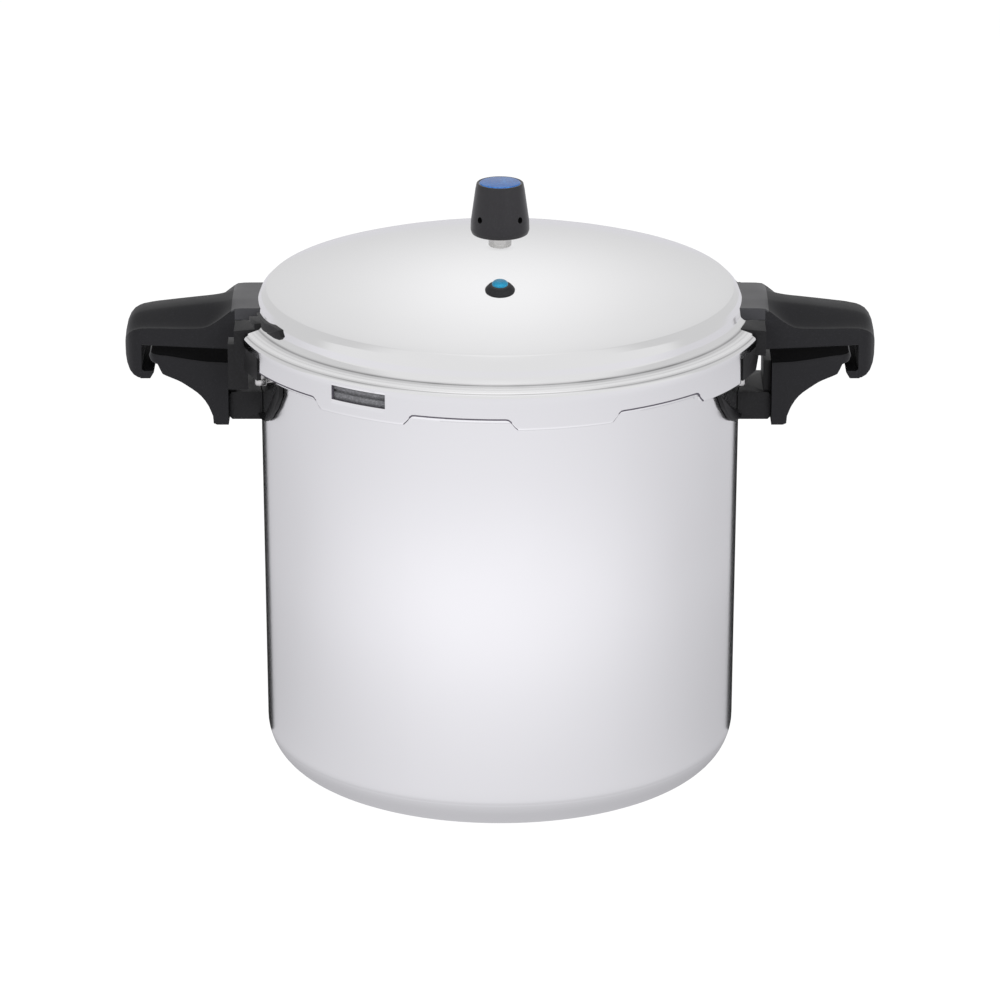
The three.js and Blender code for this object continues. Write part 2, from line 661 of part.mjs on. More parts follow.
function regulatorCover() {
  let cover = turned([
    [15.8, COVER_FOOT + 0.4], [18.4, COVER_FOOT], [19.3, COVER_FOOT + 0.8], [19.6, COVER_FOOT + 2.2],
    [19.6, 376], [18.9, 384], [17.4, 394], [16, 401.6], [15.5, 403.4], [14.8, COVER_TOP],
    [13.4, COVER_TOP], [13.4, COVER_RECESS], [0, COVER_RECESS],
    [0, COVER_CEILING], [14.2, COVER_CEILING], [14.4, 390], [15.8, 384],
  ], 32);
  for (const azimuth of COVER_HOLES) {
    cover = cover.subtract(radial(rod(COVER_HOLE, 12, 22, 8), azimuth, COVER_HOLE_Z));
  }
  return cover;
}

const regulatorWeight = () => turned([
  [5.2, 373], [15, 373], [15.3, 373.4], [15.3, 383.6], [13.9, 389.6], [13.7, 398.4],
  [3.4, 398.4], [3.4, 386], [5.2, 384],
], SMALL_STEPS);

const regulatorNeedle = () => turned([
  [0, 377], [0.9, 379.3], [2.6, 380.2], [2.8, 383.4], [3, 386], [3, 397.6], [0, 397.6],
], SMALL_STEPS);

const regulatorCap = () => turned([
  [0, COVER_RECESS + GAP], [13, COVER_RECESS + GAP], [13, 403], [12.4, 403.6], [0, 403.9],
], SMALL_STEPS);

// ---------------------------------------------------------------- pressure indicator
const INDICATOR_TILT = Math.asin(INDICATOR_REACH / DOME_SPHERE);

/** Moves a solid from the origin to the indicator's seat, square to the dome. */
function onDome(solid) {
  const tilt = THREE.MathUtils.radToDeg(INDICATOR_TILT);
  return solid.rotate([tilt, 0, 0]).translate([0, -INDICATOR_REACH, domeHeight(INDICATOR_REACH)]);
}

const indicatorGrommet = () => turned([
  [GROMMET_BORE, -5.8], [8.6, -5.8], [9, -5.2], [9, -3.2], [GROMMET_NECK, -3.2], [GROMMET_NECK, GAP],
  [9.4, GAP], [9.8, GAP + 0.6], [9.6, 2.2], [7.2, 5.6], [6.4, 6.2], [GROMMET_BORE, 6.2],
], SMALL_STEPS);

const indicatorPin = () => turned([
  [0, -11.4], [2.2, -11.4], [PIN_SHANK, -11], [PIN_SHANK, 6.5], [5.2, 6.5], [5.3, 7.3], [4.6, 8.6],
  [2.8, 9.4], [0, 9.6],
], SMALL_STEPS);

const indicatorClip = () => turned([
  [PIN_SHANK + GAP, -11], [4.8, -11], [4.8, -9.9], [PIN_SHANK + GAP, -9.9],
], SMALL_STEPS);

piece("lid_shell", lidShell(), aluminium());
for (const side of ["left", "right"]) {
  const group = sideGroup(side);
  piece(`lid_saddle_${side}`, lidSaddle(), enamel(), group);
  piece(`lid_handle_${side}`, lidGrip(), phenolic(), group);
  const gripScrew = screw(LID_SCREW_BOTTOM, LID_SCREW_TOP, LID_SCREW_HEAD).translate([LID_SCREW_X, 0, 0]);
  piece(`lid_handle_screw_${side}`, gripScrew, steel(), group);
  const bolt = radial(lidFixing(LID_BOLT_END), LID_BOLT_AZIMUTH, LID_FIXING_Z);
  piece(`lid_handle_bolt_${side}`, bolt, steel(), group);
  const wingRivet = radial(lidFixing(LID_RIVET_END), LID_RIVET_AZIMUTH, LID_FIXING_Z);
  piece(`lid_saddle_rivet_${side}`, wingRivet, steel(), group);
}

piece("vent_pipe", ventPipe(), steel());
piece("vent_washer", turned([
  [VENT_THREAD + GAP, WASHER_BOTTOM], [9, WASHER_BOTTOM],
  [9, WASHER_TOP], [VENT_THREAD + GAP, WASHER_TOP],
], SMALL_STEPS), rubber());
piece("vent_nut", ventNut(), steel());
piece("regulator_needle", regulatorNeedle(), steel());
piece("regulator_weight", regulatorWeight(), steel());
piece("regulator_cover", regulatorCover(), phenolic());
piece("regulator_cap", regulatorCap(), blueCap());

piece("indicator_grommet", onDome(indicatorGrommet()), rubber());
piece("indicator_pin", onDome(indicatorPin()), blueNylon());
piece("indicator_clip", onDome(indicatorClip()), steel());

export default canner;
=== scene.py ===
"""Pressure canner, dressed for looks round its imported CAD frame.

Each sub-assembly is a class that holds its sizes and builds its own pieces in place. Sizes and outlines
are in millimetres, and become metres where a mesh is made or moved. Azimuths are in degrees from +X,
anticlockwise seen from above.
"""
import logging
import math
from contextlib import contextmanager
from dataclasses import dataclass
from enum import Enum
from typing import Iterator, Sequence

import bpy
from mathutils import Matrix, Vector


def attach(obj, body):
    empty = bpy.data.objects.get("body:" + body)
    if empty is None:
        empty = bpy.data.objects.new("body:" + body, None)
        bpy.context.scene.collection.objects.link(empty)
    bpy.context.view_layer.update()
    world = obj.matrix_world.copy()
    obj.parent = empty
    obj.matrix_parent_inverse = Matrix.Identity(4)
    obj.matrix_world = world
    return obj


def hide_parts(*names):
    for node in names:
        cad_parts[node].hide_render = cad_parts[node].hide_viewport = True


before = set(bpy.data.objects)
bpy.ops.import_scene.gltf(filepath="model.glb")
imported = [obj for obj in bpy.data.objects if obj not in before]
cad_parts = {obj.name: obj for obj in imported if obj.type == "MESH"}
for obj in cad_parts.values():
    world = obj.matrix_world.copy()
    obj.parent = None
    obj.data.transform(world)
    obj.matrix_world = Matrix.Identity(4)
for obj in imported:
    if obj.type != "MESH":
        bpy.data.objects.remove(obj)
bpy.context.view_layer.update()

LOG = logging.getLogger("canner")

MM = 0.001
FULL_TURN = 2 * math.pi
MERGE = 0.0005  # points nearer than this are one
GAP = 0.35  # clearance between neighbouring pieces

Point = tuple[float, float]
Corner = tuple[float, float, float]
Outline = Sequence[Point]
Obj = bpy.types.Object
Socket = bpy.types.NodeSocket


class Body(str, Enum):
    """The rigid bodies that pieces ride on."""

    POT = "pot"
    RACK = "rack"
    SEAL = "seal"
    LID = "lid"
    NEEDLE = "needle"
    REGULATOR = "regulator"
    INDICATOR = "indicator"


class Side(Enum):
    """The two sides of the canner, each with the turn that carries the right-hand shape there."""

    RIGHT = ("right", 0.0)
    LEFT = ("left", math.pi)

    @property
    def word(self) -> str:
        """The side's name as the nodes spell it."""
        return self.value[0]

    @property
    def turn(self) -> Matrix:
        """The rotation from the right-hand side to this one."""
        return Matrix.Rotation(self.value[1], 4, "Z")


# ------------------------------------------------------------------ modelling helpers


def activate(obj: Obj) -> None:
    """Makes an object the only selected one and the active one."""
    if bpy.context.mode != "OBJECT":
        bpy.ops.object.mode_set(mode="OBJECT")
    bpy.ops.object.select_all(action="DESELECT")
    obj.select_set(True)
    bpy.context.view_layer.objects.active = obj


@contextmanager
def editing(obj: Obj) -> Iterator[Obj]:
    """Edit mode on one object, with all of its mesh selected on entry."""
    activate(obj)
    bpy.ops.object.mode_set(mode="EDIT")
    bpy.ops.mesh.select_mode(type="VERT")
    bpy.ops.mesh.select_all(action="SELECT")
    yield obj
    bpy.ops.object.mode_set(mode="OBJECT")


def new_object(
    name: str,
    points: Sequence[Sequence[float]],
    edges: Sequence[tuple[int, int]] = (),
    faces: Sequence[Sequence[int]] = (),
) -> Obj:
    """A mesh object at the origin.

    Args:
        name: name of the object and its mesh.
        points: vertex places.
        edges: pairs of vertex numbers.
        faces: rings of vertex numbers.

    Returns:
        The linked object.
    """
    mesh = bpy.data.meshes.new(name)
    mesh.from_pydata([tuple(c * MM for c in p) for p in points], list(edges), list(faces))
    obj = bpy.data.objects.new(name, mesh)
    bpy.context.scene.collection.objects.link(obj)
    return obj


def in_metres(a: float, b: float) -> Vector:
    """A point of an outline, scaled to metres."""
    return Vector((a * MM, b * MM))


def rounded(corners: Sequence[Corner], steps: int = 4, closed: bool = False) -> list[Point]:
    """An outline whose corners are turned into arcs, worked out in metres so that its mesh keeps its last digits.

    Args:
        corners: (a, b, radius) of each corner; a radius of 0 keeps it sharp.
        steps: straight pieces in each arc.
        closed: whether the last corner joins the first.

    Returns:
        The points of the outline.
    """
    points: list[Point] = []
    count = len(corners)
    for k, (a, b, radius) in enumerate(corners):
        here = in_metres(a, b)
        at_end = not closed and k in (0, count - 1)
        if at_end or radius <= 0:
            points.append((a, b))
            continue
        before = in_metres(*corners[k - 1][:2]) - here
        after = in_metres(*corners[(k + 1) % count][:2]) - here
        half_angle = before.angle(after) / 2
        room = 0.48 * min(before.length, after.length)
        reach = min(radius * MM / math.tan(half_angle), room)
        size = reach * math.tan(half_angle)
        start = here + before.normalized() * reach
        end = here + after.normalized() * reach
        middle = here + (before.normalized() + after.normalized()).normalized() * (size / math.sin(half_angle))
        first = start - middle
        sweep = first.angle_signed(end - middle)
        for step in range(steps + 1):
            turn = -sweep * step / steps
            cos, sin = math.cos(turn), math.sin(turn)
            spoke = Vector((first.x * cos - first.y * sin, first.x * sin + first.y * cos))
            points.append(tuple(c / MM for c in middle + spoke))
    return points


def arc(centre: Point, radius: float, start: float, end: float, steps: int) -> list[Point]:
    """Points on an arc between two angles in degrees, both ends included."""
    angles = [math.radians(start + (end - start) * k / steps) for k in range(steps + 1)]
    return [(centre[0] + radius * math.cos(a), centre[1] + radius * math.sin(a)) for a in angles]


def close_up(obj: Obj) -> Obj:
    """Merges doubles and points every face outwards."""
    with editing(obj):
        bpy.ops.mesh.remove_doubles(threshold=MERGE * MM)
        bpy.ops.mesh.dissolve_degenerate(threshold=MERGE * MM)
        bpy.ops.mesh.select_all(action="SELECT")
        bpy.ops.mesh.normals_make_consistent(inside=False)
    return obj


def spun(name: str, outline: Outline, steps: int = 96, closed: bool = False) -> Obj:
    """Spins an outline of (radius, z) points once round the Z axis.

    Args:
        name: name of the new object.
        outline: the points.
        steps: facets round the turn.
        closed: whether the outline's end joins its start.

    Returns:
        The turned object.
    """
    count = len(outline)
    edges = [(k, (k + 1) % count) for k in range(count if closed else count - 1)]
    obj = new_object(name, [(max(r, 0.0), 0.0, z) for r, z in outline], edges)
    with editing(obj):
        bpy.ops.mesh.spin(steps=steps, angle=FULL_TURN, center=(0, 0, 0), axis=(0, 0, 1))
    return close_up(obj)


def lofted(name: str, rings: Sequence[Sequence[Sequence[float]]]) -> Obj:
    """Skins closed rings of equally many places and caps both ends."""
    count = len(rings[0])
    faces: list[Sequence[int]] = []
    for base in range(0, (len(rings) - 1) * count, count):
        for k in range(count):
            follow = (k + 1) % count
            faces.append((base + k, base + follow, base + count + follow, base + count + k))
    faces.append(tuple(range(count)))
    faces.append(tuple(range((len(rings) - 1) * count, len(rings) * count)))
    return close_up(new_object(name, [p for ring in rings for p in ring], faces=faces))


def extruded(name: str, points: Sequence[Sequence[float]], depth: Vector) -> Obj:
    """Fills a ring of places and pulls the face by a depth into a closed prism."""
    obj = new_object(name, points, faces=[tuple(range(len(points)))])
    with editing(obj):
        bpy.ops.mesh.extrude_region_move(TRANSFORM_OT_translate={"value": tuple(depth * MM)})
    return close_up(obj)


def apply_modifier(obj: Obj, kind: str, **settings: object) -> Obj:
    """Adds a modifier with its settings and applies it."""
    activate(obj)
    modifier = obj.modifiers.new(kind.title(), kind)
    for key, value in settings.items():
        setattr(modifier, key, value)
    bpy.ops.object.modifier_apply(modifier=modifier.name)
    return obj


def bevelled(obj: Obj, width: float, segments: int = 2, angle: float = 35.0) -> Obj:
    """Rounds the edges that are sharper than an angle in degrees."""
    limit = {"limit_method": "ANGLE", "angle_limit": math.radians(angle)}
    shape = {"use_clamp_overlap": True, "miter_outer": "MITER_ARC"}
    return apply_modifier(obj, "BEVEL", width=width * MM, segments=segments, **limit, **shape)


def combine(obj: Obj, tool: Obj, operation: str = "DIFFERENCE") -> Obj:
    """Cuts or joins an object with a tool and removes the tool."""
    apply_modifier(obj, "BOOLEAN", object=tool, operation=operation, solver="EXACT")
    bpy.data.objects.remove(tool, do_unlink=True)
    return obj


def joined(objects: Sequence[Obj]) -> Obj:
    """Joins objects into the first of them."""
    activate(objects[0])
    for obj in objects[1:]:
        obj.select_set(True)
    bpy.ops.object.join()
    return objects[0]


def peg(radius: float, depth: float, x: float, y: float, z: float, steps: int = 32) -> Obj:
    """An upright cylinder to cut with, round a middle at (x, y, z)."""
    bpy.ops.object.select_all(action="DESELECT")
    place = (x * MM, y * MM, z * MM)
    bpy.ops.mesh.primitive_cylinder_add(vertices=steps, radius=radius * MM, depth=depth * MM, location=place)
    bpy.ops.object.transform_apply(location=True)
    return bpy.context.object


def shift(x: float, y: float, z: float) -> Matrix:
    """A move by a distance along each axis."""
    return Matrix.Translation((x * MM, y * MM, z * MM))


def radial(azimuth: float, height: float) -> Matrix:
    """The place of a fixing whose own Z axis becomes the radius at an azimuth and height."""
    spin = Matrix.Rotation(math.radians(azimuth), 4, "Z")
    return shift(0, 0, height) @ spin @ Matrix.Rotation(math.pi / 2, 4, "Y")


def moved(obj: Obj, matrix: Matrix) -> Obj:
    """Moves an object's mesh, so that the object itself stays at the origin."""
    obj.data.transform(matrix)
    obj.data.update()
    return obj


def copied(obj: Obj, name: str, matrix: Matrix) -> Obj:
    """A copy with its own mesh, moved."""
    twin = obj.copy()
    twin.data = obj.data.copy()
    twin.name = twin.data.name = name
    bpy.context.scene.collection.objects.link(twin)
    return moved(twin, matrix)


def from_cad(node: str, name: str, bevel: float) -> Obj:
    """A clean copy of a CAD node, with a bevel on its edges."""
    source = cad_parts[node]
    mesh = source.data.copy()
    mesh.transform(source.matrix_world)
    mesh.materials.clear()
    obj = bpy.data.objects.new(name, mesh)
    bpy.context.scene.collection.objects.link(obj)
    with editing(obj):
        bpy.ops.mesh.remove_doubles(threshold=0.02 * MM)
        bpy.ops.mesh.dissolve_limited(angle_limit=math.radians(1.0))
        bpy.ops.mesh.select_all(action="SELECT")
        bpy.ops.mesh.normals_make_consistent(inside=False)
    return bevelled(obj, bevel, 2, 40.0)


# ------------------------------------------------------------------ finishes


def linear(code: str) -> tuple[float, float, float, float]:
    """An sRGB hex code as a linear colour with full alpha."""
    parts = [int(code[k:k + 2], 16) / 255 for k in (1, 3, 5)]
    curve = [c / 12.92 if c <= 0.04045 else ((c + 0.055) / 1.055) ** 2.4 for c in parts]
    return (*curve, 1.0)


class NodeTree:
    """A material's or world's nodes, emptied and ready to be filled."""

    def __init__(self, owner: bpy.types.ID) -> None:
        """Takes the owner's tree and clears it."""
        owner.use_nodes = True
        self.tree = owner.node_tree
        self.tree.nodes.clear()

    def add(self, kind: str, *values: object, **named: object) -> bpy.types.Node:
        """Adds a node with its settings and links.

        Args:
            kind: the node's type name after "ShaderNode".
            values: what its first inputs take: a value, a socket, or a node for its first output.
            named: settings by name; inputs with a capital and _ for a space, or i and their number.

        Returns:
            The new node.
        """
        node = self.tree.nodes.new(f"ShaderNode{kind}")
        inputs: dict[int | str, object] = dict(enumerate(values))
        for key, value in named.items():
            if key[0] == "i" and key[1:].isdigit():
                inputs[int(key[1:])] = value
            elif key[0].isupper():
                inputs[key.replace("_", " ")] = value
            else:
                setattr(node, key, value)
        for slot, value in inputs.items():
            if isinstance(value, bpy.types.Node):
                value = value.outputs[0]
            if isinstance(value, Socket):
                self.tree.links.new(value, node.inputs[slot])
            else:
                node.inputs[slot].default_value = value
        return node


SMOOTH = {"interpolation_type": "SMOOTHSTEP"}
TIMES = {"operation": "MULTIPLY"}
BANDS = {"wave_type": "BANDS", "bands_direction": "Z"}


def bell(nodes: NodeTree, value: object, centre: float, width: float, height: float) -> bpy.types.Node:
    """A bell-shaped rise round a centre, 1/e of its height at the width."""
    from_centre = nodes.add("Math", value, centre, operation="SUBTRACT")
    off = nodes.add("Math", from_centre, width, operation="DIVIDE")
    square = nodes.add("Math", off, off, **TIMES)
    fall = nodes.add("Math", nodes.add("Math", square, -1.0, **TIMES), operation="EXPONENT")
    return nodes.add("Math", fall, height, **TIMES)


def band_scale(pitch: float) -> float:
    """The scale at which a wave texture repeats once in each pitch."""
    return 2 * math.pi / (20 * pitch * MM)


class Finish:
    """What every finish starts from."""

    name: str

    def start(self) -> tuple[bpy.types.Material, NodeTree, Socket]:
        """A new material, its nodes, and the places on the piece."""
        material = bpy.data.materials.new(self.name)
        nodes = NodeTree(material)
        return material, nodes, nodes.add("TexCoord").outputs["Object"]


@dataclass(frozen=True)
class SpunAluminium(Finish):
    """Drawn and polished aluminium: near mirror, with faint lathe rings and a satin haze from the buffing."""

    name: str = "polished_aluminium"
    roughness: float = 0.17
    haze: float = 0.05
    ring_pitch: float = 8.0  # the lathe's rings are far finer; this is the slow wave that shows
    # Painted shade: dark rings by radius, laid into the colour below a height, for the lid's folds and bend.
    painted_shade_rings: tuple[tuple[float, float, float], ...] = ()  # radius, half width and darkness of greyed rings
    painted_shade_below: float = 325.0
    metallic: float = 1.0

    def painted_fold_shade(self, nodes: NodeTree, place: Socket) -> bpy.types.Node:
        """How much painted shade darkens the colour: patchy rings at the lid's folds and bend, below a height."""
        flat = nodes.add("VectorMath", place, (1, 1, 0), **TIMES)
        radius = nodes.add("VectorMath", flat, operation="LENGTH").outputs["Value"]
        patches = nodes.add("TexNoise", place, Scale=28.0, Detail=2.0)
        shade_unevenness = nodes.add("MapRange", patches, 0.0, 1.0, 0.5, 1.5)
        dark: object = 0.0
        for middle, half_width, darkness in self.painted_shade_rings:
            ring = bell(nodes, radius, middle * MM, half_width * MM, darkness)
            dark = nodes.add("Math", dark, nodes.add("Math", ring, shade_unevenness, **TIMES))
        height = nodes.add("SeparateXYZ", place).outputs["Z"]
        low = nodes.add("Math", self.painted_shade_below * MM, height, operation="GREATER_THAN")
        return nodes.add("Math", dark, low, **TIMES)

    def build(self) -> bpy.types.Material:
        """Builds the material."""
        material, nodes, place = self.start()
        haze = nodes.add("TexNoise", place, Scale=9.0, Detail=3.0, Roughness=0.5)
        smear = nodes.add("TexNoise", place, Scale=70.0, Detail=2.0)
        tones = {"i6": linear("#F6F6F6"), "i7": linear("#F3F3F3")}
        colour = nodes.add("Mix", haze, data_type="RGBA", **tones).outputs[2]
        # Painted shade: on the rings the colour goes towards a dark grey.
        if self.painted_shade_rings:
            fold_shade_amount = self.painted_fold_shade(nodes, place)
            colour = nodes.add("Mix", fold_shade_amount, data_type="RGBA", i6=colour, i7=linear("#2A282C")).outputs[2]
        rings = nodes.add("TexWave", place, Scale=band_scale(self.ring_pitch), Distortion=0.6, Detail=2.0, **BANDS)
        height = nodes.add("Math", rings.outputs["Fac"], smear)
        bump = nodes.add("Bump", Strength=0.004, Distance=0.4 * MM, Height=height)
        rough = nodes.add("MapRange", haze, 0.0, 1.0, self.roughness, self.roughness + self.haze)
        shader = nodes.add("BsdfPrincipled", colour, Metallic=self.metallic, Roughness=rough, Normal=bump)
        nodes.add("OutputMaterial", shader)
        return material


@dataclass(frozen=True)
class MouldedPhenolic(Finish):
    """Compression-moulded phenolic: charcoal, satin, with a fine grain from its filler."""

    name: str = "moulded_phenolic"
    colour: str = "#18181A"
    fleck: str = "#242427"
    roughness: float = 0.45
    specular: float = 0.2
    grain: float = 0.9
    grain_depth: float = 0.12

    def build(self) -> bpy.types.Material:
        """Builds the material."""
        material, nodes, place = self.start()
        grain = nodes.add("TexNoise", place, Scale=1 / (self.grain * MM), Detail=3.0, Roughness=0.6)
        cloud = nodes.add("TexNoise", place, Scale=60.0, Detail=2.0)
        flecks = nodes.add("MapRange", grain, 0.56, 0.74)
        tones = {"i6": linear(self.colour), "i7": linear(self.fleck)}
        tint = nodes.add("Mix", flecks, data_type="RGBA", **tones).outputs[2]
        bump = nodes.add("Bump", Strength=self.grain_depth, Distance=0.25 * MM, Height=grain)
        rough = nodes.add("MapRange", cloud, 0.0, 1.0, self.roughness - 0.05, self.roughness + 0.07)
        gloss = {"Roughness": rough, "IOR": 1.5, "Specular_IOR_Level": self.specular}
        nodes.add("OutputMaterial", nodes.add("BsdfPrincipled", tint, Normal=bump, **gloss))
        return material


@dataclass(frozen=True)
class TurnedSteel(Finish):
    """Turned stainless steel: fine tool rings across a bright, slightly rough face."""

    name: str = "turned_stainless_steel"
    colour: str = "#D2D1CF"
    roughness: float = 0.24
    ring_pitch: float = 0.8

    def build(self) -> bpy.types.Material:
        """Builds the material."""
        material, nodes, place = self.start()
        rings = nodes.add("TexWave", place, Scale=band_scale(self.ring_pitch), Distortion=0.4, **BANDS)
        scuff = nodes.add("TexNoise", place, Scale=350.0, Detail=3.0)
        bump = nodes.add("Bump", Strength=0.12, Distance=0.1 * MM, Height=rings.outputs["Fac"])
        rough = nodes.add("MapRange", scuff, 0.0, 1.0, self.roughness - 0.05, self.roughness + 0.12)
        shader = nodes.add("BsdfPrincipled", linear(self.colour), Metallic=1.0, Roughness=rough, Normal=bump)
        nodes.add("OutputMaterial", shader)
        return material


@dataclass(frozen=True)
class SpeckledCoat(Finish):
    """A coat or skin over another material: stove enamel on steel, moulded rubber or moulded nylon."""

    name: str
    colour: str
    speck: str
    roughness: float
    grain: float
    depth: float
    specular: float = 0.5

    def build(self) -> bpy.types.Material:
        """Builds the material."""
        material, nodes, place = self.start()
        grain = nodes.add("TexNoise", place, Scale=1 / (self.grain * MM), Detail=4.0, Roughness=0.65)
        specks = nodes.add("MapRange", grain, 0.45, 0.7)
        tones = {"i6": linear(self.colour), "i7": linear(self.speck)}
        tint = nodes.add("Mix", specks, data_type="RGBA", **tones).outputs[2]
        bump = nodes.add("Bump", Strength=self.depth, Distance=0.3 * MM, Height=grain)
        rough = nodes.add("MapRange", grain, 0.0, 1.0, self.roughness - 0.06, self.roughness + 0.08)
        gloss = {"Roughness": rough, "IOR": 1.5, "Specular_IOR_Level": self.specular}
        nodes.add("OutputMaterial", nodes.add("BsdfPrincipled", tint, Normal=bump, **gloss))
        return material


class Finishes:
    """Every material of the canner, built once."""

    def __init__(self) -> None:
        """Builds the materials."""
        self.pot = SpunAluminium().build()
        # Painted shade for the lid: dark rings at its folds and outer bend (radius, half width, darkness).
        painted_shade_rings = ((165.9, 0.75, 0.55), (167.8, 1.1, 0.22), (170.6, 0.6, 0.12), (174.9, 0.45, 0.4))
        self.lid = SpunAluminium("polished_aluminium_lid", roughness=0.13, haze=0.04, painted_shade_rings=painted_shade_rings).build()
        # The inside is only scoured, so it scatters: part of the light leaves it as from a white coat.
        self.inside = SpunAluminium("scoured_aluminium", roughness=0.42, haze=0.1, metallic=0.55).build()
        self.phenolic = MouldedPhenolic().build()
        # A smoother, glossier copy of the phenolic for the raised blocks; its lighter colour is painted highlight,
        # for the light the block catches.
        self.smooth_lit_phenolic = MouldedPhenolic(
            "smooth_lit_phenolic", "#2C2C2F", "#323235", roughness=0.34, specular=0.5, grain_depth=0.03,
        ).build()
        # Painted shade: a near-black, dull copy of the phenolic for faces in shade, under the lid grip, in its
        # hook and inside the cover.
        self.painted_shade_phenolic = MouldedPhenolic(
            "painted_shade_phenolic", "#070708", "#0E0E10", roughness=0.8, specular=0.02,
        ).build()
        self.cover = MouldedPhenolic(
            "moulded_phenolic_cover", "#19181B", roughness=0.3, specular=0.5, grain_depth=0.05,
        ).build()
        self.steel = TurnedSteel().build()
        self.dark_steel = TurnedSteel("blackened_turned_steel", "#0C0C0E", roughness=0.6).build()
        # Stove enamel on pressed steel: black, slightly orange-peeled.
        self.enamel = SpeckledCoat(
            "black_stove_enamel", "#0C0C0D", "#18181A", roughness=0.48, grain=1.4, depth=0.3, specular=0.3,
        ).build()
        # Painted shade: a dark, matt grey on the sheared sheet edge and the window's sides, standing in for the
        # shade along them.
        self.shaded_cut_edge = SpeckledCoat(
            "sheared_edge_painted_shade", "#4A474F", "#67636B", roughness=0.7, grain=0.8, depth=0.3, specular=0.2,
        ).build()
        # Moulded nitrile rubber: dull black with a dusting of talc in its pores.
        self.rubber = SpeckledCoat(
            "moulded_nitrile_rubber", "#141416", "#242427", roughness=0.5, grain=0.7, depth=0.1, specular=0.35,
        ).build()
        # The same rubber on the gasket, made a lighter grey with a coarser speckle: painted highlight for the
        # light its ribs catch.
        self.seal = SpeckledCoat(
            "gasket_rubber_painted_highlight", "#5E5E61", "#7C7C80", roughness=0.5, grain=1.6, depth=0.1,
        ).build()
        # Injection-moulded nylon: glossy teal blue.
        self.button = SpeckledCoat(
            "moulded_blue_nylon", "#147BA0", "#1F8BB0", roughness=0.24, grain=1.5, depth=0.03, specular=0.4,
        ).build()
        # Injection-moulded polypropylene: semi-gloss mid blue, with broad patches of lighter blue that are painted
        # highlight, for streaks of light on the cap.
        self.cap = SpeckledCoat(
            "blue_polypropylene_painted_highlight", "#1C63B4", "#3E8AD8", roughness=0.2, grain=5.0, depth=0.04, specular=0.4,
        ).build()


# ------------------------------------------------------------------ pieces


def turned(name: str, corners: Sequence[Corner], sides: int, closed: bool = False, steps: int = 4) -> Obj:
    """Spins an outline of (radius, z, rounding) corners into an object with so many sides."""
    return spun(name, rounded(corners, steps, closed), sides, closed)


def facets(obj: Obj) -> Iterator[tuple[bpy.types.MeshPolygon, Vector, float, float]]:
    """Each face, its middle, the distance of that from the Z axis, and how far the face looks outwards."""
    for polygon in obj.data.polygons:
        place = polygon.center / MM
        radius = math.hypot(place.x, place.y)
        yield polygon, place, radius, polygon.normal.xy.dot(place.xy) / max(radius, 1.0)


def azimuth_of(place: Vector) -> float:
    """The azimuth of a place."""
    return math.degrees(math.atan2(place.y, place.x))


def dressed(
    obj: Obj,
    finish: bpy.types.Material,
    body: Body,
    node: str,
    angle: float = 40.0,
    mirrored: bool = True,
) -> Obj:
    """Gives a piece its shading, its material, its body and the CAD node that it stands for.

    Args:
        obj: the piece.
        finish: its material.
        body: the rigid body that it moves with.
        node: the CAD node that it replaces.
        angle: edges sharper than this many degrees stay sharp.
        mirrored: whether polished metal shows it in its reflections.

    Returns:
        The piece.
    """
    activate(obj)
    bpy.ops.object.shade_smooth_by_angle(angle=math.radians(angle))
    obj.data.materials.clear()
    obj.data.materials.append(finish)
    obj.visible_glossy = mirrored
    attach(obj, body.value)
    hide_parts(node)
    LOG.info("%s: %d faces on %s", obj.name, len(obj.data.polygons), body.value)
    return obj


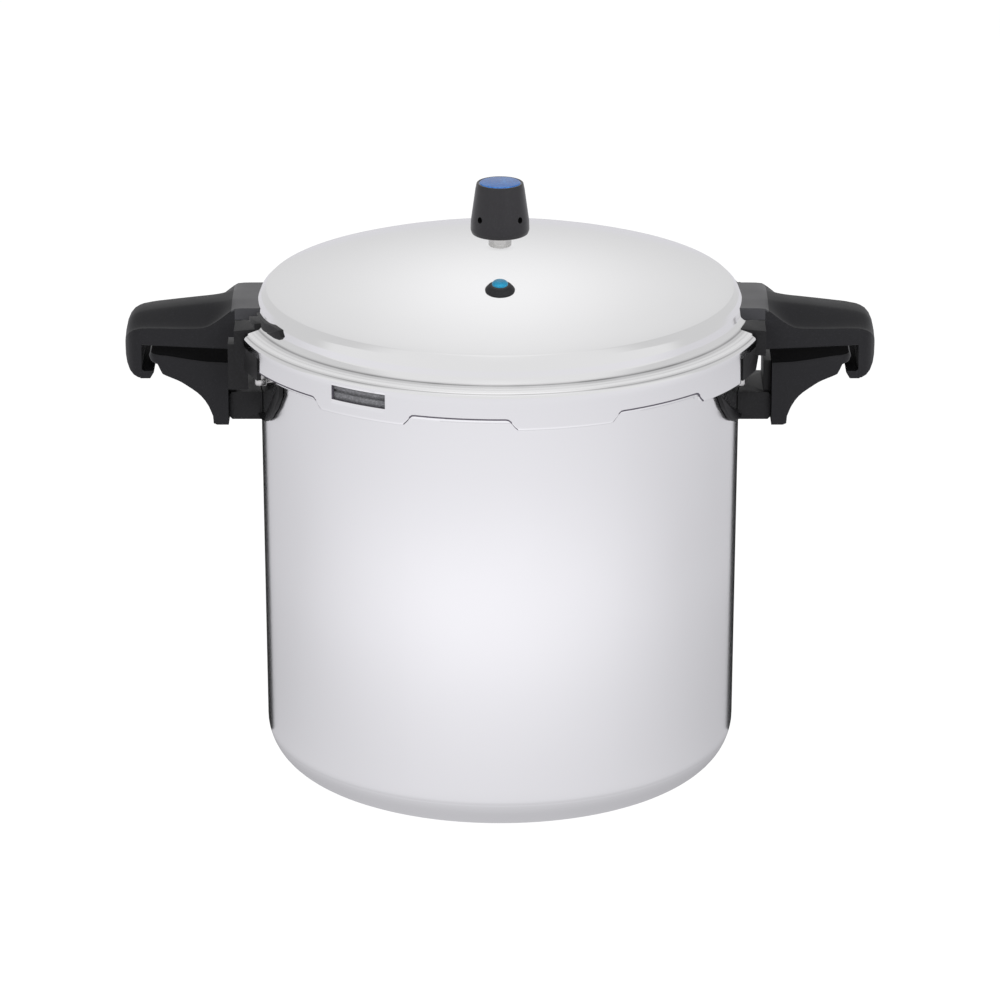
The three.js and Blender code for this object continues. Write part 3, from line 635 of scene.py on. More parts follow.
@dataclass
class Pot:
    """The drawn aluminium pot with its rolled rim and bayonet lugs."""

    radius: float = 160
    foot_radius: float = 158.2
    wall: float = 3
    floor: float = 4
    corner: float = 31
    rim_top: float = 305
    rim_radius: float = 166.2
    lug_radius: float = 172.6
    lug_bottom: float = 292.3
    lug_top: float = 301
    lug_half: float = 9.0
    lug_start: float = -121.0
    lug_pitch: float = 45.0
    tool_lines: tuple[float, float] = (-33.0, -17.0)
    line_depth: float = 0.09
    sides: int = 256

    def corner_points(self) -> list[Point]:
        """The outer corner, with the faint lines that the forming tools leave round it."""
        heel = (self.foot_radius - self.corner, self.corner)
        around = [angle + offset for angle in self.tool_lines for offset in (-0.8, 0, 0.8)]
        points: list[Point] = []
        for angle in sorted({*range(-90, 1, 6), *around}):
            reach = self.corner - (self.line_depth if angle in self.tool_lines else 0.0)
            points += arc(heel, reach, angle, angle, 1)[:1]
        return points

    def outline(self) -> list[Point]:
        """The pot's section, from the axis round the outside and back along the inside."""
        heel, bore = self.foot_radius - self.corner, self.radius - self.wall
        foot = [(0, 0), (heel - 14, 0), (heel - 12.5, 0.5), (heel - 8, 0.5), (heel - 6.5, 0)]
        rim = rounded([
            (self.radius, 250, 0), (self.radius, 289, 6), (161.6, 297, 3), (self.rim_radius, 299.6, 1.2),
            (self.rim_radius, self.rim_top, 1.6), (bore, self.rim_top, 1.4), (bore, 289, 0),
        ], steps=5)
        inner = arc((heel, self.corner), self.corner - self.wall, 0, -82, 14)
        inside = [(r, max(z, self.floor)) for r, z in inner]
        return [*foot, *self.corner_points(), *rim, *inside, (0, self.floor)]

    def lugs(self) -> Obj:
        """The eight bayonet lugs, as one object."""
        root = self.rim_radius - 3
        section = rounded([
            (root, self.lug_bottom, 0), (self.lug_radius, self.lug_bottom, 1.4),
            (self.lug_radius, self.lug_top, 2.2), (root, self.lug_top, 0),
        ], steps=3)
        lug = new_object("lug", [(r, 0, z) for r, z in section], faces=[tuple(range(len(section)))])
        moved(lug, Matrix.Rotation(math.radians(-self.lug_half), 4, "Z"))
        width = math.radians(2 * self.lug_half)
        with editing(lug):
            bpy.ops.mesh.spin(steps=12, angle=width, center=(0, 0, 0), axis=(0, 0, 1))
        close_up(lug)
        turns = [math.radians(self.lug_start + k * self.lug_pitch) for k in range(round(360 / self.lug_pitch))]
        lugs = [copied(lug, f"lug_{k}", Matrix.Rotation(turn, 4, "Z")) for k, turn in enumerate(turns)]
        bpy.data.objects.remove(lug, do_unlink=True)
        return joined(lugs)

    def build(self, finishes: Finishes) -> None:
        """Builds the pot."""
        pot = combine(spun("drawn_pot", self.outline(), self.sides), self.lugs(), "UNION")
        dressed(pot, finishes.pot, Body.POT, "pot_body", angle=32)
        pot.data.materials.append(finishes.inside)
        for polygon, place, radius, outward in facets(pot):
            within = radius < self.radius - self.wall / 2 and self.floor / 2 < place.z < self.rim_top - 2
            if within and (outward < -0.05 or polygon.normal.z > 0.5):
                polygon.material_index = 1


@dataclass
class Rack:
    """The perforated rack that stands on the pot's floor."""

    radius: float = 140
    bottom: float = 4.35
    top: float = 19
    sheet: float = 2
    hole: float = 6
    finger_hole: float = 14
    rings: tuple[tuple[float, int], ...] = ((38, 6), (62, 12), (86, 18), (110, 24))  # radius, holes

    def build(self, finishes: Finishes) -> None:
        """Builds the rack and punches its rings of holes."""
        edge, under = self.radius, self.top - self.sheet
        rack = turned("perforated_rack", [
            (0, under, 0), (edge - 6, under, 1.5), (edge - 4, self.top - 4, 1.5), (edge - 14, self.bottom, 0.8),
            (edge - 12, self.bottom, 0.8), (edge - 1, self.top - 4, 2.5), (edge - 3, self.top, 2.5),
            (0, self.top, 0),
        ], 160, steps=3)
        holes = [(0.0, 0.0, self.finger_hole)]
        for reach, count in self.rings:
            holes += [(x, y, self.hole) for x, y in arc((0, 0), reach, 0, 360, count)[:-1]]
        middle = self.top - self.sheet / 2
        combine(rack, joined([peg(radius, 4 * self.sheet, x, y, middle, 24) for x, y, radius in holes]))
        dressed(rack, finishes.pot, Body.RACK, "canning_rack", angle=30)


def level(outline: Outline, x: float) -> float:
    """The height of an outline that runs along x, at one x."""
    for (x0, z0), (x1, z1) in zip(outline, outline[1:]):
        low, high = min(x0, x1), max(x0, x1)
        if low <= x <= high and high > low:
            return z0 + (z1 - z0) * (x - x0) / (x1 - x0)
    return outline[-1][1] if abs(outline[-1][0] - x) < abs(outline[0][0] - x) else outline[0][1]


def pan_screw(name: str, place: Matrix, bottom: float, top: float, head: float) -> Obj:
    """A pan-head screw pointing up, with a cross recess in its head.

    Args:
        name: name of the new object.
        place: where its axis stands.
        bottom: height of the head's face.
        top: height of the shank's end.
        head: radius of the head.

    Returns:
        The screw.
    """
    shank, seat = 2.2, bottom + 2.6
    screw = turned(name, [
        (0, bottom, 0), (head, bottom, 1.2), (head, seat, 0.3), (shank, seat, 0.2), (shank, top, 0.5),
        (0, top, 0),
    ], 32)
    for turn in (0.0, math.pi / 2):
        bpy.ops.object.select_all(action="DESELECT")
        bpy.ops.mesh.primitive_cube_add(size=MM, location=(0, 0, bottom * MM))
        slot = bpy.context.object
        slot.scale = (1.1 * head, 0.26 * head, 1.6)
        slot.rotation_euler.z = turn
        bpy.ops.object.transform_apply(location=True, rotation=True, scale=True)
        combine(screw, slot)
    return moved(screw, place)


@dataclass
class PotHandle:
    """A pot handle, its enamelled bracket and their fixings, on one side."""

    side: Side
    half: float = 28
    inner: float = 181.05
    nose_start: float = 221
    tip: float = 234
    rivet_azimuth: float = 18.6
    rivet_height: float = 283.4
    rivet_shank: float = 2.3
    plate_radius: float = 163.85
    screw_x: float = 186

    def grip(self) -> Obj:
        """The moulded grip: a bracket-shaped side view, flat flanks and a rounded nose."""
        under = rounded([
            (self.inner, 243.4, 0), (191.2, 243.4, 1.8), (191.6, 251.5, 2), (198.2, 263.6, 30),
            (212.5, 273.6, 30), (225.4, 279.1, 1.6), (227.4, 285, 1.2), (232.8, 286.2, 1.6), (self.tip, 289, 0),
        ], steps=5)
        over = rounded([
            (self.tip, 289, 0), (232.8, 292.1, 2), (222, 292.1, 6), (205, 289.2, 30), (195, 287.8, 10),
            (self.inner, 287.1, 0),
        ], steps=5)
        nose = self.tip - self.nose_start
        stations = sorted({
            self.inner, 191.1, 191.5, *[self.inner + k * 2.6 for k in range(1, 16)],
            *[self.nose_start + nose * math.sin(math.radians(a)) for a in range(0, 88, 8)], self.tip - 0.02,
        })
        rings = []
        for x in stations:
            low, high = level(under, x), level(over, x)
            beyond = max(x - self.nose_start, 0.0)
            across = self.half - nose + math.sqrt(max(nose ** 2 - beyond ** 2, 0.0))
            edge = min(1.8, 0.4 * (high - low))
            section = rounded([
                (-across, low, edge), (across, low, edge), (across, high, edge), (across - 7, high - 0.35, 5),
                (7 - across, high - 0.35, 5), (-across, high, edge),
            ], closed=True)
            rings.append([(x, y, z) for y, z in section])
        grip = lofted(f"pot_grip_{self.side.word}", rings)
        combine(grip, peg(3.75, 8, self.screw_x, 0, 245))
        return moved(grip, self.side.turn)

    def rivet(self, name: str, azimuth: float) -> Obj:
        """A rivet through the wall, along the radius: flat head inside, tall domed head outside."""
        shank, plate = self.rivet_shank, self.plate_radius
        rivet = turned(name, [
            (0, 154.4, 0), (3.9, 154.4, 0.8), (4.6, 156.4, 0.3), (shank, 156.4, 0), (shank, plate, 0),
            (4.1, plate, 0.3), (4.1, 168.2, 2.6), (2.9, 171.2, 2.4), (0, 171.2, 0),
        ], 40, steps=5)
        return moved(rivet, self.side.turn @ radial(azimuth, self.rivet_height))

    def build(self, finishes: Finishes) -> None:
        """Builds this side of the pot's fittings."""
        word = self.side.word
        grip = dressed(self.grip(), finishes.phenolic, Body.POT, f"pot_handle_{word}", angle=38)
        # Painted shade: the grip's top, under the lid grip, gets the near-black phenolic.
        grip.data.materials.append(finishes.painted_shade_phenolic)
        for polygon, place, _, _ in facets(grip):
            if polygon.normal.z > 0.9 and abs(place.y) < self.half - 1.2:
                polygon.material_index = 1
        node = f"pot_saddle_{word}"
        bracket = from_cad(node, f"pot_bracket_{word}", 0.7)
        dressed(bracket, finishes.enamel, Body.POT, node, angle=38)
        for k, azimuth in ((1, -self.rivet_azimuth), (2, self.rivet_azimuth)):
            rivet = self.rivet(f"pot_rivet_{word}_{k}", azimuth)
            dressed(rivet, finishes.steel, Body.POT, f"pot_saddle_rivet_{word}_{k}")
        place = self.side.turn @ shift(self.screw_x, 0, 0)
        screw = pan_screw(f"pot_screw_{word}", place, 245.6, 261.4, 3.4)
        dressed(screw, finishes.steel, Body.POT, f"pot_handle_screw_{word}")


@dataclass
class Lid:
    """The drawn lid: dome, shoulder, flange, skirt with bayonet tabs, and the gasket in its rim."""

    sheet: float = 2.4
    dome_top: float = 360
    crease_radius: float = 156
    crease_height: float = 333
    skirt_radius: float = 176.6
    tab_bottom: float = 288.8
    short_bottom: float = 295.7
    stretch_top: float = 306
    lip_radius: float = 167.2
    tab_half: float = 11.25
    tab_slope: float = 1.3
    skirt_end: float = 26.25
    flange_end: float = 16.875
    trim_radius: float = 173.6
    tab_start: float = -121.0
    tab_pitch: float = 45.0
    window_outline: tuple[float, float, float, float] = (-128.1, -114.8, 298.4, 308.0)  # azimuths, heights
    sides: int = 576

    @property
    def sphere(self) -> float:
        """Radius of the domed top."""
        rise = self.dome_top - self.crease_height
        return (self.crease_radius ** 2 + rise ** 2) / (2 * rise)

    def dome_height(self, radius: float) -> float:
        """Height of the dome's outer face at one radius."""
        return self.dome_top - self.sphere + math.sqrt(self.sphere ** 2 - radius ** 2)

    def outer(self) -> list[Point]:
        """The outer face of the sheet from the axis to the lip's inner edge."""
        skirt = self.skirt_radius
        dome = [(r, self.dome_height(r)) for r in (0, 3, 12, 24, 36, 50, 64, 78, 92, 106, 120, 132, 144)]
        folds = rounded([
            (150, self.dome_height(150), 0), (self.crease_radius, self.crease_height, 1.2), (159.6, 329.4, 3),
            (161.4, 324.5, 6), (162.0, 319.4, 1.8), (165.3, 316.3, 0.5), (166.4, 315.7, 0), (173.5, 313.7, 3),
            (skirt, 311.8, 2.4), (skirt, self.stretch_top, 0),
        ], steps=5)
        wall = [(skirt, z) for z in (302.5, 299, 295, 291)]
        lip = rounded([(skirt, 291, 0), (skirt, self.tab_bottom, 1.2), (self.lip_radius, self.tab_bottom, 0)])
        return [*dome, *folds, *wall, *lip[1:]]

    def skirt_bottom(self, azimuth: float) -> float:
        """Height of the skirt's lower edge at one azimuth, with an S-shaped step at each tab."""
        tabs = [self.tab_start + turn + k * self.tab_pitch for turn in (0, 180) for k in range(3)]
        away = min(abs((azimuth - tab + 180) % 360 - 180) for tab in tabs)
        t = min(max((self.tab_half + self.tab_slope - away) / (2 * self.tab_slope), 0.0), 1.0)
        return self.short_bottom + (self.tab_bottom - self.short_bottom) * t * t * (3 - 2 * t)

    def trimmed_off(self, place: Vector, radius: float) -> bool:
        """Whether a place on the spun sheet is cut away, at the handles or between the tabs' lips."""
        from_handle = abs((azimuth_of(place) + 90) % 180 - 90)
        in_skirt_gap = from_handle < self.skirt_end and place.z < 307.4
        in_flange_gap = from_handle < self.flange_end and radius > self.trim_radius and place.z < 315
        lip = radius < self.skirt_radius - 1.3 and place.z < self.stretch_top
        return in_skirt_gap or in_flange_gap or (lip and place.z > self.tab_bottom + 1.0)

    def shell(self) -> Obj:
        """The lid's sheet, spun, trimmed at the handles, stepped at the tabs and given its thickness."""
        shell = spun("drawn_lid", self.outer(), self.sides)
        mesh = shell.data
        # The thickness goes inwards from faces that look out, and the spin may leave them looking in.
        if sum(polygon.normal.z * polygon.area for polygon in mesh.polygons) < 0:
            mesh.flip_normals()
        for vertex in mesh.vertices:
            place = vertex.co / MM
            if place.z < self.stretch_top - MERGE:
                stretch = (self.stretch_top - self.skirt_bottom(azimuth_of(place))) / (
                    self.stretch_top - self.tab_bottom
                )
                vertex.co.z = (self.stretch_top - (self.stretch_top - place.z) * stretch) * MM
        doomed = [self.trimmed_off(place, radius) for _, place, radius, _ in facets(shell)]
        with editing(shell):
            bpy.ops.mesh.select_mode(type="FACE")
            bpy.ops.mesh.select_all(action="DESELECT")
            bpy.ops.object.mode_set(mode="OBJECT")
            for polygon, gone in zip(mesh.polygons, doomed):
                polygon.select = gone
            bpy.ops.object.mode_set(mode="EDIT")
            bpy.ops.mesh.delete(type="FACE")
        return apply_modifier(shell, "SOLIDIFY", thickness=self.sheet * MM, offset=-1.0, use_even_offset=True)

    def in_window(self, place: Vector) -> bool:
        """Whether a place is within the window's outline, or just on its edge."""
        start, end, low, high = self.window_outline
        return start - 0.3 < azimuth_of(place) < end + 0.3 and low - 0.5 < place.z < high + 0.5

    def window(self) -> Obj:
        """The cutter for the safety window in the skirt."""
        start, end, low, high = self.window_outline
        rings = []
        for radius in (172, 180):
            lower = arc((0, 0), radius, start, end, 12)
            rings.append([(*p, low) for p in lower] + [(*p, high) for p in reversed(lower)])
        return lofted("window", rings)

    def build(self, finishes: Finishes) -> None:
        """Builds the lid's shell and its gasket."""
        shell = combine(self.shell(), self.window())
        for radius, place in ((4.4, shift(0, 0, 355)), (6.4, Indicator().seat())):
            hole = spun("hole", [(0, -15), (radius, -15), (radius, 15), (0, 15)], 32)
            combine(shell, moved(hole, place))
        bevelled(shell, 0.35, angle=55)
        dressed(shell, finishes.lid, Body.LID, "lid_shell")
        shell.data.materials.append(finishes.shaded_cut_edge)
        # Painted shade: the strip along the short sections' lower edge and the window's cut sides get the dark
        # edge finish.
        for polygon, place, radius, outward in facets(shell):
            bottom = self.skirt_bottom(azimuth_of(place))
            trimmed = bottom > self.tab_bottom + 0.4 and place.z < bottom + 1.15
            sheared = trimmed and radius > self.skirt_radius - 1.5
            if sheared or (self.in_window(place) and abs(outward) < 0.5):
                polygon.material_index = 1
        seal = turned("moulded_gasket", [
            (158.8, 305.5, 0.6), (163.0, 305.5, 0.5), (164.0, 306.4, 0.5), (166.8, 305.5, 0.5),
            (168.4, 302.4, 0.6), (172.5, 302.4, 0.2), (172.9, 301.6, 0.2), (172.9, 297.6, 0.1),
            (173.2, 297.6, 0.1), (173.85, 299.4, 1), (173.7, 302.4, 0.4), (171.4, 303.0, 0.1),
            (171.4, 304.0, 0.1), (173.7, 304.5, 0.4), (173.9, 306.2, 1), (173.2, 307.6, 0.8),
            (171.2, 310.4, 1.0), (163.5, 312.0, 1.0), (159.2, 309.9, 0.8),
        ], 192, closed=True, steps=3)
        dressed(seal, finishes.seal, Body.SEAL, "sealing_gasket")


def interpolated(keys: Sequence[Sequence[float]], x: float) -> list[float]:
    """The values at x on straight lines between the keys, rows of x and its values in rising order of x."""
    for before, after in zip(keys, keys[1:]):
        if x <= after[0] or after is keys[-1]:
            t = min(max((x - before[0]) / (after[0] - before[0]), 0.0), 1.0)
            return [a + (b - a) * t for a, b in zip(before[1:], after[1:])]
    return list(keys[-1][1:])


@dataclass
class LidHandle:
    """A lid handle with its raised block and hooked nose, its bracket and their fixings, on one side."""

    side: Side
    lid: Lid
    block_bottom: float = 317
    pocket_wall: float = 238.3
    screw_x: float = 188
    fixing_height: float = 321

    def section(self, x: float) -> list[Corner]:
        """The grip's cross-section at one distance from the axis."""
        keys = (
            # distance, underside, ridge, crown, half width
            (158, 317, 325.7, 326.2, 30),
            (171, 317, 325.7, 326.2, 30),
            (175.9, 317, 325.2, 326.2, 30),
            (176.1, 296.8, 325.1, 326.2, 30),
            (178.2, 296.9, 323.9, 326.1, 30),
            (180.0, 297.0, 322.6, 325.7, 30),
            (182.5, 297.1, 320.6, 325.1, 30),
            (187, 297.3, 317.1, 324.3, 30),
            (192, 297.5, 313.9, 323.6, 30),
            (196, 297.7, 312.1, 323.1, 30),
            (200, 297.9, 311.6, 322.7, 30),
            (215, 298.6, 311.5, 321.0, 30),
            (230, 299.3, 311.7, 319.2, 29.7),
            (238.2, 299.6, 311.2, 317.6, 28.6),
            (238.5, 276.4, 311.1, 317.5, 28.5),
            (241.0, 276.6, 310.4, 316.6, 27.5),
            (244.0, 277.9, 309.0, 314.9, 25.7),
            (246.6, 280.4, 306.8, 311.9, 22.8),
            (248.6, 284.4, 303.6, 307.4, 18.6),
            (249.6, 288.4, 300.6, 302.8, 14.6),
            (250.0, 292.4, 297.4, 298.2, 10.6),
        )
        bottom, ridge, crown, half = interpolated(keys, x)
        flank = []
        steps = 9
        shoulder, spine = half - 2.0, 8.5 * half / 30
        for k in range(steps + 1):
            t = k / steps
            rise = 0.55 * t + 0.45 * t * t * (3 - 2 * t)
            flank.append((shoulder - (shoulder - spine) * t, ridge + (crown - ridge) * rise, 0.0))
        corner = min(1.6, 0.3 * (ridge - bottom))
        right = [(half, bottom, corner), (half, ridge, 0.8), *flank]
        left = [(-y, z, r) for y, z, r in reversed(right)]
        return [(x, y, z) for y, z in rounded([*right, *left], steps=3, closed=True)]

    def grip(self) -> Obj:
        """The whole moulded handle, with the lip inside its hook that reaches under the pot handle's nose."""
        stations = (  # closer together at the bends
            158, 166, 172, 175.9, 176.1, 177.2, 178.2, 179.1, 180, 181.2, 182.5, 184.2, 186, 188, 190, 192, 195,
            198, 202, 207, 212, 217, 222, 227, 231, 234.5, 238.2, 238.5, 239.6, 241, 242.5, 244, 245.4, 246.6,
            247.7, 248.6, 249.2, 249.6, 249.85, 250,
        )
        grip = lofted(f"lid_grip_{self.side.word}", [self.section(x) for x in stations])
        width = 56.6
        outline = rounded([
            (239.5, 276.4, 0), (232.8, 276.4, 0.9), (230.2, 280.8, 0.6), (230.6, 281.9, 0.4), (236.8, 281.7, 1.0),
            (239.5, 284, 0),
        ], closed=True)
        lip = extruded("lip", [(x, -width / 2, z) for x, z in outline], Vector((0, width, 0)))
        combine(grip, bevelled(lip, 0.8, angle=60), "UNION")
        wall = [(r + GAP, z + GAP) for r, z in self.lid.outer() if 310 < z < 350]
        combine(grip, spun("wall", [(0, 360), *wall, (0, 300)], 192))
        combine(grip, peg(4.55, 8, self.screw_x, 0, 297))
        return moved(grip, self.side.turn)

    def fixing(self, name: str, azimuth: float, end: float) -> Obj:
        """A bolt or rivet through the lid's wall from inside, along the radius."""
        fixing = turned(name, [
            (0, 156.2, 0), (4, 156.2, 1.1), (4, 158.1, 0.2), (2.3, 158.1, 0), (2.3, end, 0.4), (0, end, 0),
        ], 32)
        return moved(fixing, self.side.turn @ radial(azimuth, self.fixing_height))

    def build(self, finishes: Finishes) -> None:
        """Builds this side of the lid's fittings."""
        word = self.side.word
        grip = self.grip()
        dressed(grip, finishes.phenolic, Body.LID, f"lid_handle_{word}", angle=38, mirrored=False)
        # Painted highlight: the raised block gets the lighter copy of the phenolic.
        grip.data.materials.append(finishes.smooth_lit_phenolic)
        # Painted shade: the hook's pocket under the grip gets the near-black phenolic.
        grip.data.materials.append(finishes.painted_shade_phenolic)
        for polygon, place, _, _ in facets(grip):
            x = abs(place.x)
            if x < 178 and place.z > self.block_bottom - 0.5:
                polygon.material_index = 1
            elif x < self.pocket_wall + 1 and place.z < 300.5 and abs(polygon.normal.y) < 0.5:
                polygon.material_index = 2
        node = f"lid_saddle_{word}"
        bracket = from_cad(node, f"lid_bracket_{word}", 0.6)
        dressed(bracket, finishes.enamel, Body.LID, node, angle=38, mirrored=False)
        place = self.side.turn @ shift(self.screw_x, 0, 0)
        screw = pan_screw(f"lid_screw_{word}", place, 297.9, 315, 4.2)
        dressed(screw, finishes.steel, Body.LID, f"lid_handle_screw_{word}")
        bolt = self.fixing(f"lid_bolt_{word}", 0, 170)
        dressed(bolt, finishes.steel, Body.LID, f"lid_handle_bolt_{word}", mirrored=False)
        rivet = self.fixing(f"lid_rivet_{word}", 24, 163.4)
        dressed(rivet, finishes.steel, Body.LID, f"lid_saddle_rivet_{word}", mirrored=False)


@dataclass
class Regulator:
    """The vent pipe in the lid, and the weight, needle, cover and cap that ride on it."""

    dome_top: float = 360
    thread: float = 4
    pipe_top: float = 379
    bore: float = 1.3
    cover_foot: float = 368.9
    cover_top: float = 403.9
    cap_top: float = 404.2
    hole_height: float = 381.6
    hole_radius: float = 2.1

    def pipe(self) -> Obj:
        """The vent pipe: hexagon foot, stepped body, spigot and a bore right through."""
        foot = self.dome_top + GAP
        pipe = turned("turned_vent_pipe", [
            (self.bore, 347, 0), (self.thread, 347, 0.4), (self.thread, foot, 0), (7.2, foot, 0.3),
            (7.2, foot + 1.9, 0.6), (6.2, foot + 2.4, 0.3), (6.2, foot + 4.2, 0.3), (6.5, foot + 4.6, 0.3),
            (6.5, 368.6, 0.8), (5.6, 369.6, 0.4), (3.4, 370, 0.5), (3.4, self.pipe_top, 0.5),
            (self.bore, self.pipe_top, 0.2),
        ], 64, closed=True, steps=3)
        return combine(pipe, self.hexagon("hexagon_foot", 7.7, foot, 5.8, 3), "UNION")

    def hexagon(self, name: str, radius: float, bottom: float, height: float, bore: float) -> Obj:
        """A six-sided collar.

        Args:
            name: its name.
            radius: the distance of its corners from the axis.
            bottom: the height of its lower face.
            height: its thickness.
            bore: the radius of its hole.

        Returns:
            The collar.
        """
        corners = [(x, y, bottom) for x, y in arc((0, 0), radius, 0, 300, 5)]
        collar = bevelled(extruded(name, corners, Vector((0, 0, height))), 0.5, angle=50)
        low, high = bottom - 10, bottom + 20
        return combine(collar, spun("bore", [(0, low), (bore, low), (bore, high), (0, high)], 40))

    def cover(self) -> Obj:
        """The moulded cover: a tapered cup with a flared foot, a recess for its cap and four side holes."""
        foot, top = self.cover_foot, self.cover_top
        cover = turned("moulded_cover", [
            (0, 398.8, 0), (14.2, 398.8, 0.8), (14.4, 390, 3), (15.8, 384, 3), (15.9, foot + 0.4, 0.4),
            (18.6, foot, 1.2), (19.6, foot + 3, 2), (19.4, 378, 6), (16.4, 399.6, 8), (15.5, top, 1.5),
            (14.0, top, 0.5), (13.9, 401, 0.3), (0, 401, 0),
        ], 96, steps=5)
        for azimuth in (-135, -45, 45, 135):
            drill = spun("drill", [(0, 14), (self.hole_radius, 14), (self.hole_radius, 24), (0, 24)], 24)
            combine(cover, moved(drill, radial(azimuth, self.hole_height)))
        return bevelled(cover, 0.2, angle=50)

    def build(self, finishes: Finishes) -> None:
        """Builds the vent pipe and the regulator."""
        dressed(self.pipe(), finishes.steel, Body.LID, "vent_pipe", mirrored=False)
        washer = turned("rubber_washer", [
            (4.35, 354.8, 0.2), (9, 354.8, 0.5), (9, 356.8, 0.5), (4.35, 356.8, 0.2),
        ], 48, closed=True)
        dressed(washer, finishes.rubber, Body.LID, "vent_washer", angle=35)
        nut = self.hexagon("hexagon_nut", 8, 349, 5.6, self.thread + GAP)
        dressed(nut, finishes.steel, Body.LID, "vent_nut", angle=35)
        needle = turned("turned_needle", [
            (0, 377, 0), (0.9, 379.3, 0.4), (2.6, 380.2, 0.4), (2.8, 383.4, 1), (3, 386, 1), (3, 397.6, 0.5),
            (0, 397.6, 0),
        ], 40)
        dressed(needle, finishes.steel, Body.NEEDLE, "regulator_needle", 35, mirrored=False)
        weight = turned("turned_weight", [
            (5.2, 373, 0.5), (15.2, 373, 0.6), (15.3, 383.6, 1), (13.9, 389.6, 1), (13.7, 398.4, 0.6),
            (3.4, 398.4, 0.3), (3.4, 386, 0.5), (5.2, 384, 0.5),
        ], 64, closed=True)
        dressed(weight, finishes.dark_steel, Body.REGULATOR, "regulator_weight", 35, mirrored=False)
        cover = self.cover()
        dressed(cover, finishes.cover, Body.REGULATOR, "regulator_cover", mirrored=False)
        # Painted shade: the inside of the cover, its ceiling and the walls of its holes get the near-black
        # phenolic.
        cover.data.materials.append(finishes.painted_shade_phenolic)
        for polygon, place, _, outward in facets(cover):
            if outward < 0.5 and self.cover_foot + 3 < place.z < 399:
                polygon.material_index = 1
        cap = turned("moulded_cap", [
            (0, 401.3, 0), (13.7, 401.3, 0.3), (13.7, self.cap_top, 0.8), (0, self.cap_top, 0),
        ], 80)
        dressed(cap, finishes.cap, Body.REGULATOR, "regulator_cap", 35, mirrored=False)


@dataclass
class Indicator:
    """The pressure indicator: a rubber grommet in the dome, with a sliding button and its clip."""

    reach: float = 81

    def seat(self) -> Matrix:
        """The place of the indicator, square to the dome."""
        lid = Lid()
        tilt = math.asin(self.reach / lid.sphere)
        return shift(0, -self.reach, lid.dome_height(self.reach)) @ Matrix.Rotation(tilt, 4, "X")

    def build(self, finishes: Finishes) -> None:
        """Builds the indicator's three pieces."""
        grommet = turned("moulded_grommet", [
            (2.9, -5.8, 0.3), (8.8, -5.8, 0.6), (9, -3.2, 0.6), (6, -3.2, 0.3), (6, GAP, 0.2), (9.6, GAP, 0.4),
            (9.9, 2.0, 1.2), (7.8, 4.5, 1.8), (6.6, 5.1, 0.7), (2.9, 5.1, 0.3),
        ], 64, closed=True)
        button = turned("moulded_button", [
            (0, -11.4, 0), (2.4, -11.4, 0.5), (2.5, 5.4, 0.3), (5.3, 5.4, 0.4), (5.3, 6.4, 0.8),
            (4.3, 7.6, 1.4), (2.2, 8.2, 3), (0, 8.2, 0),
        ], 64)
        clip = turned("spring_clip", [(2.8, -11, 0.2), (4.8, -11, 0.4), (4.8, -9.9, 0.4), (2.8, -9.9, 0.2)],
                      40, closed=True)
        for piece in (grommet, button, clip):
            moved(piece, self.seat())
        dressed(grommet, finishes.rubber, Body.LID, "indicator_grommet", mirrored=False)
        dressed(button, finishes.button, Body.INDICATOR, "indicator_pin", mirrored=False)
        dressed(clip, finishes.steel, Body.INDICATOR, "indicator_clip")


# ------------------------------------------------------------------ studio


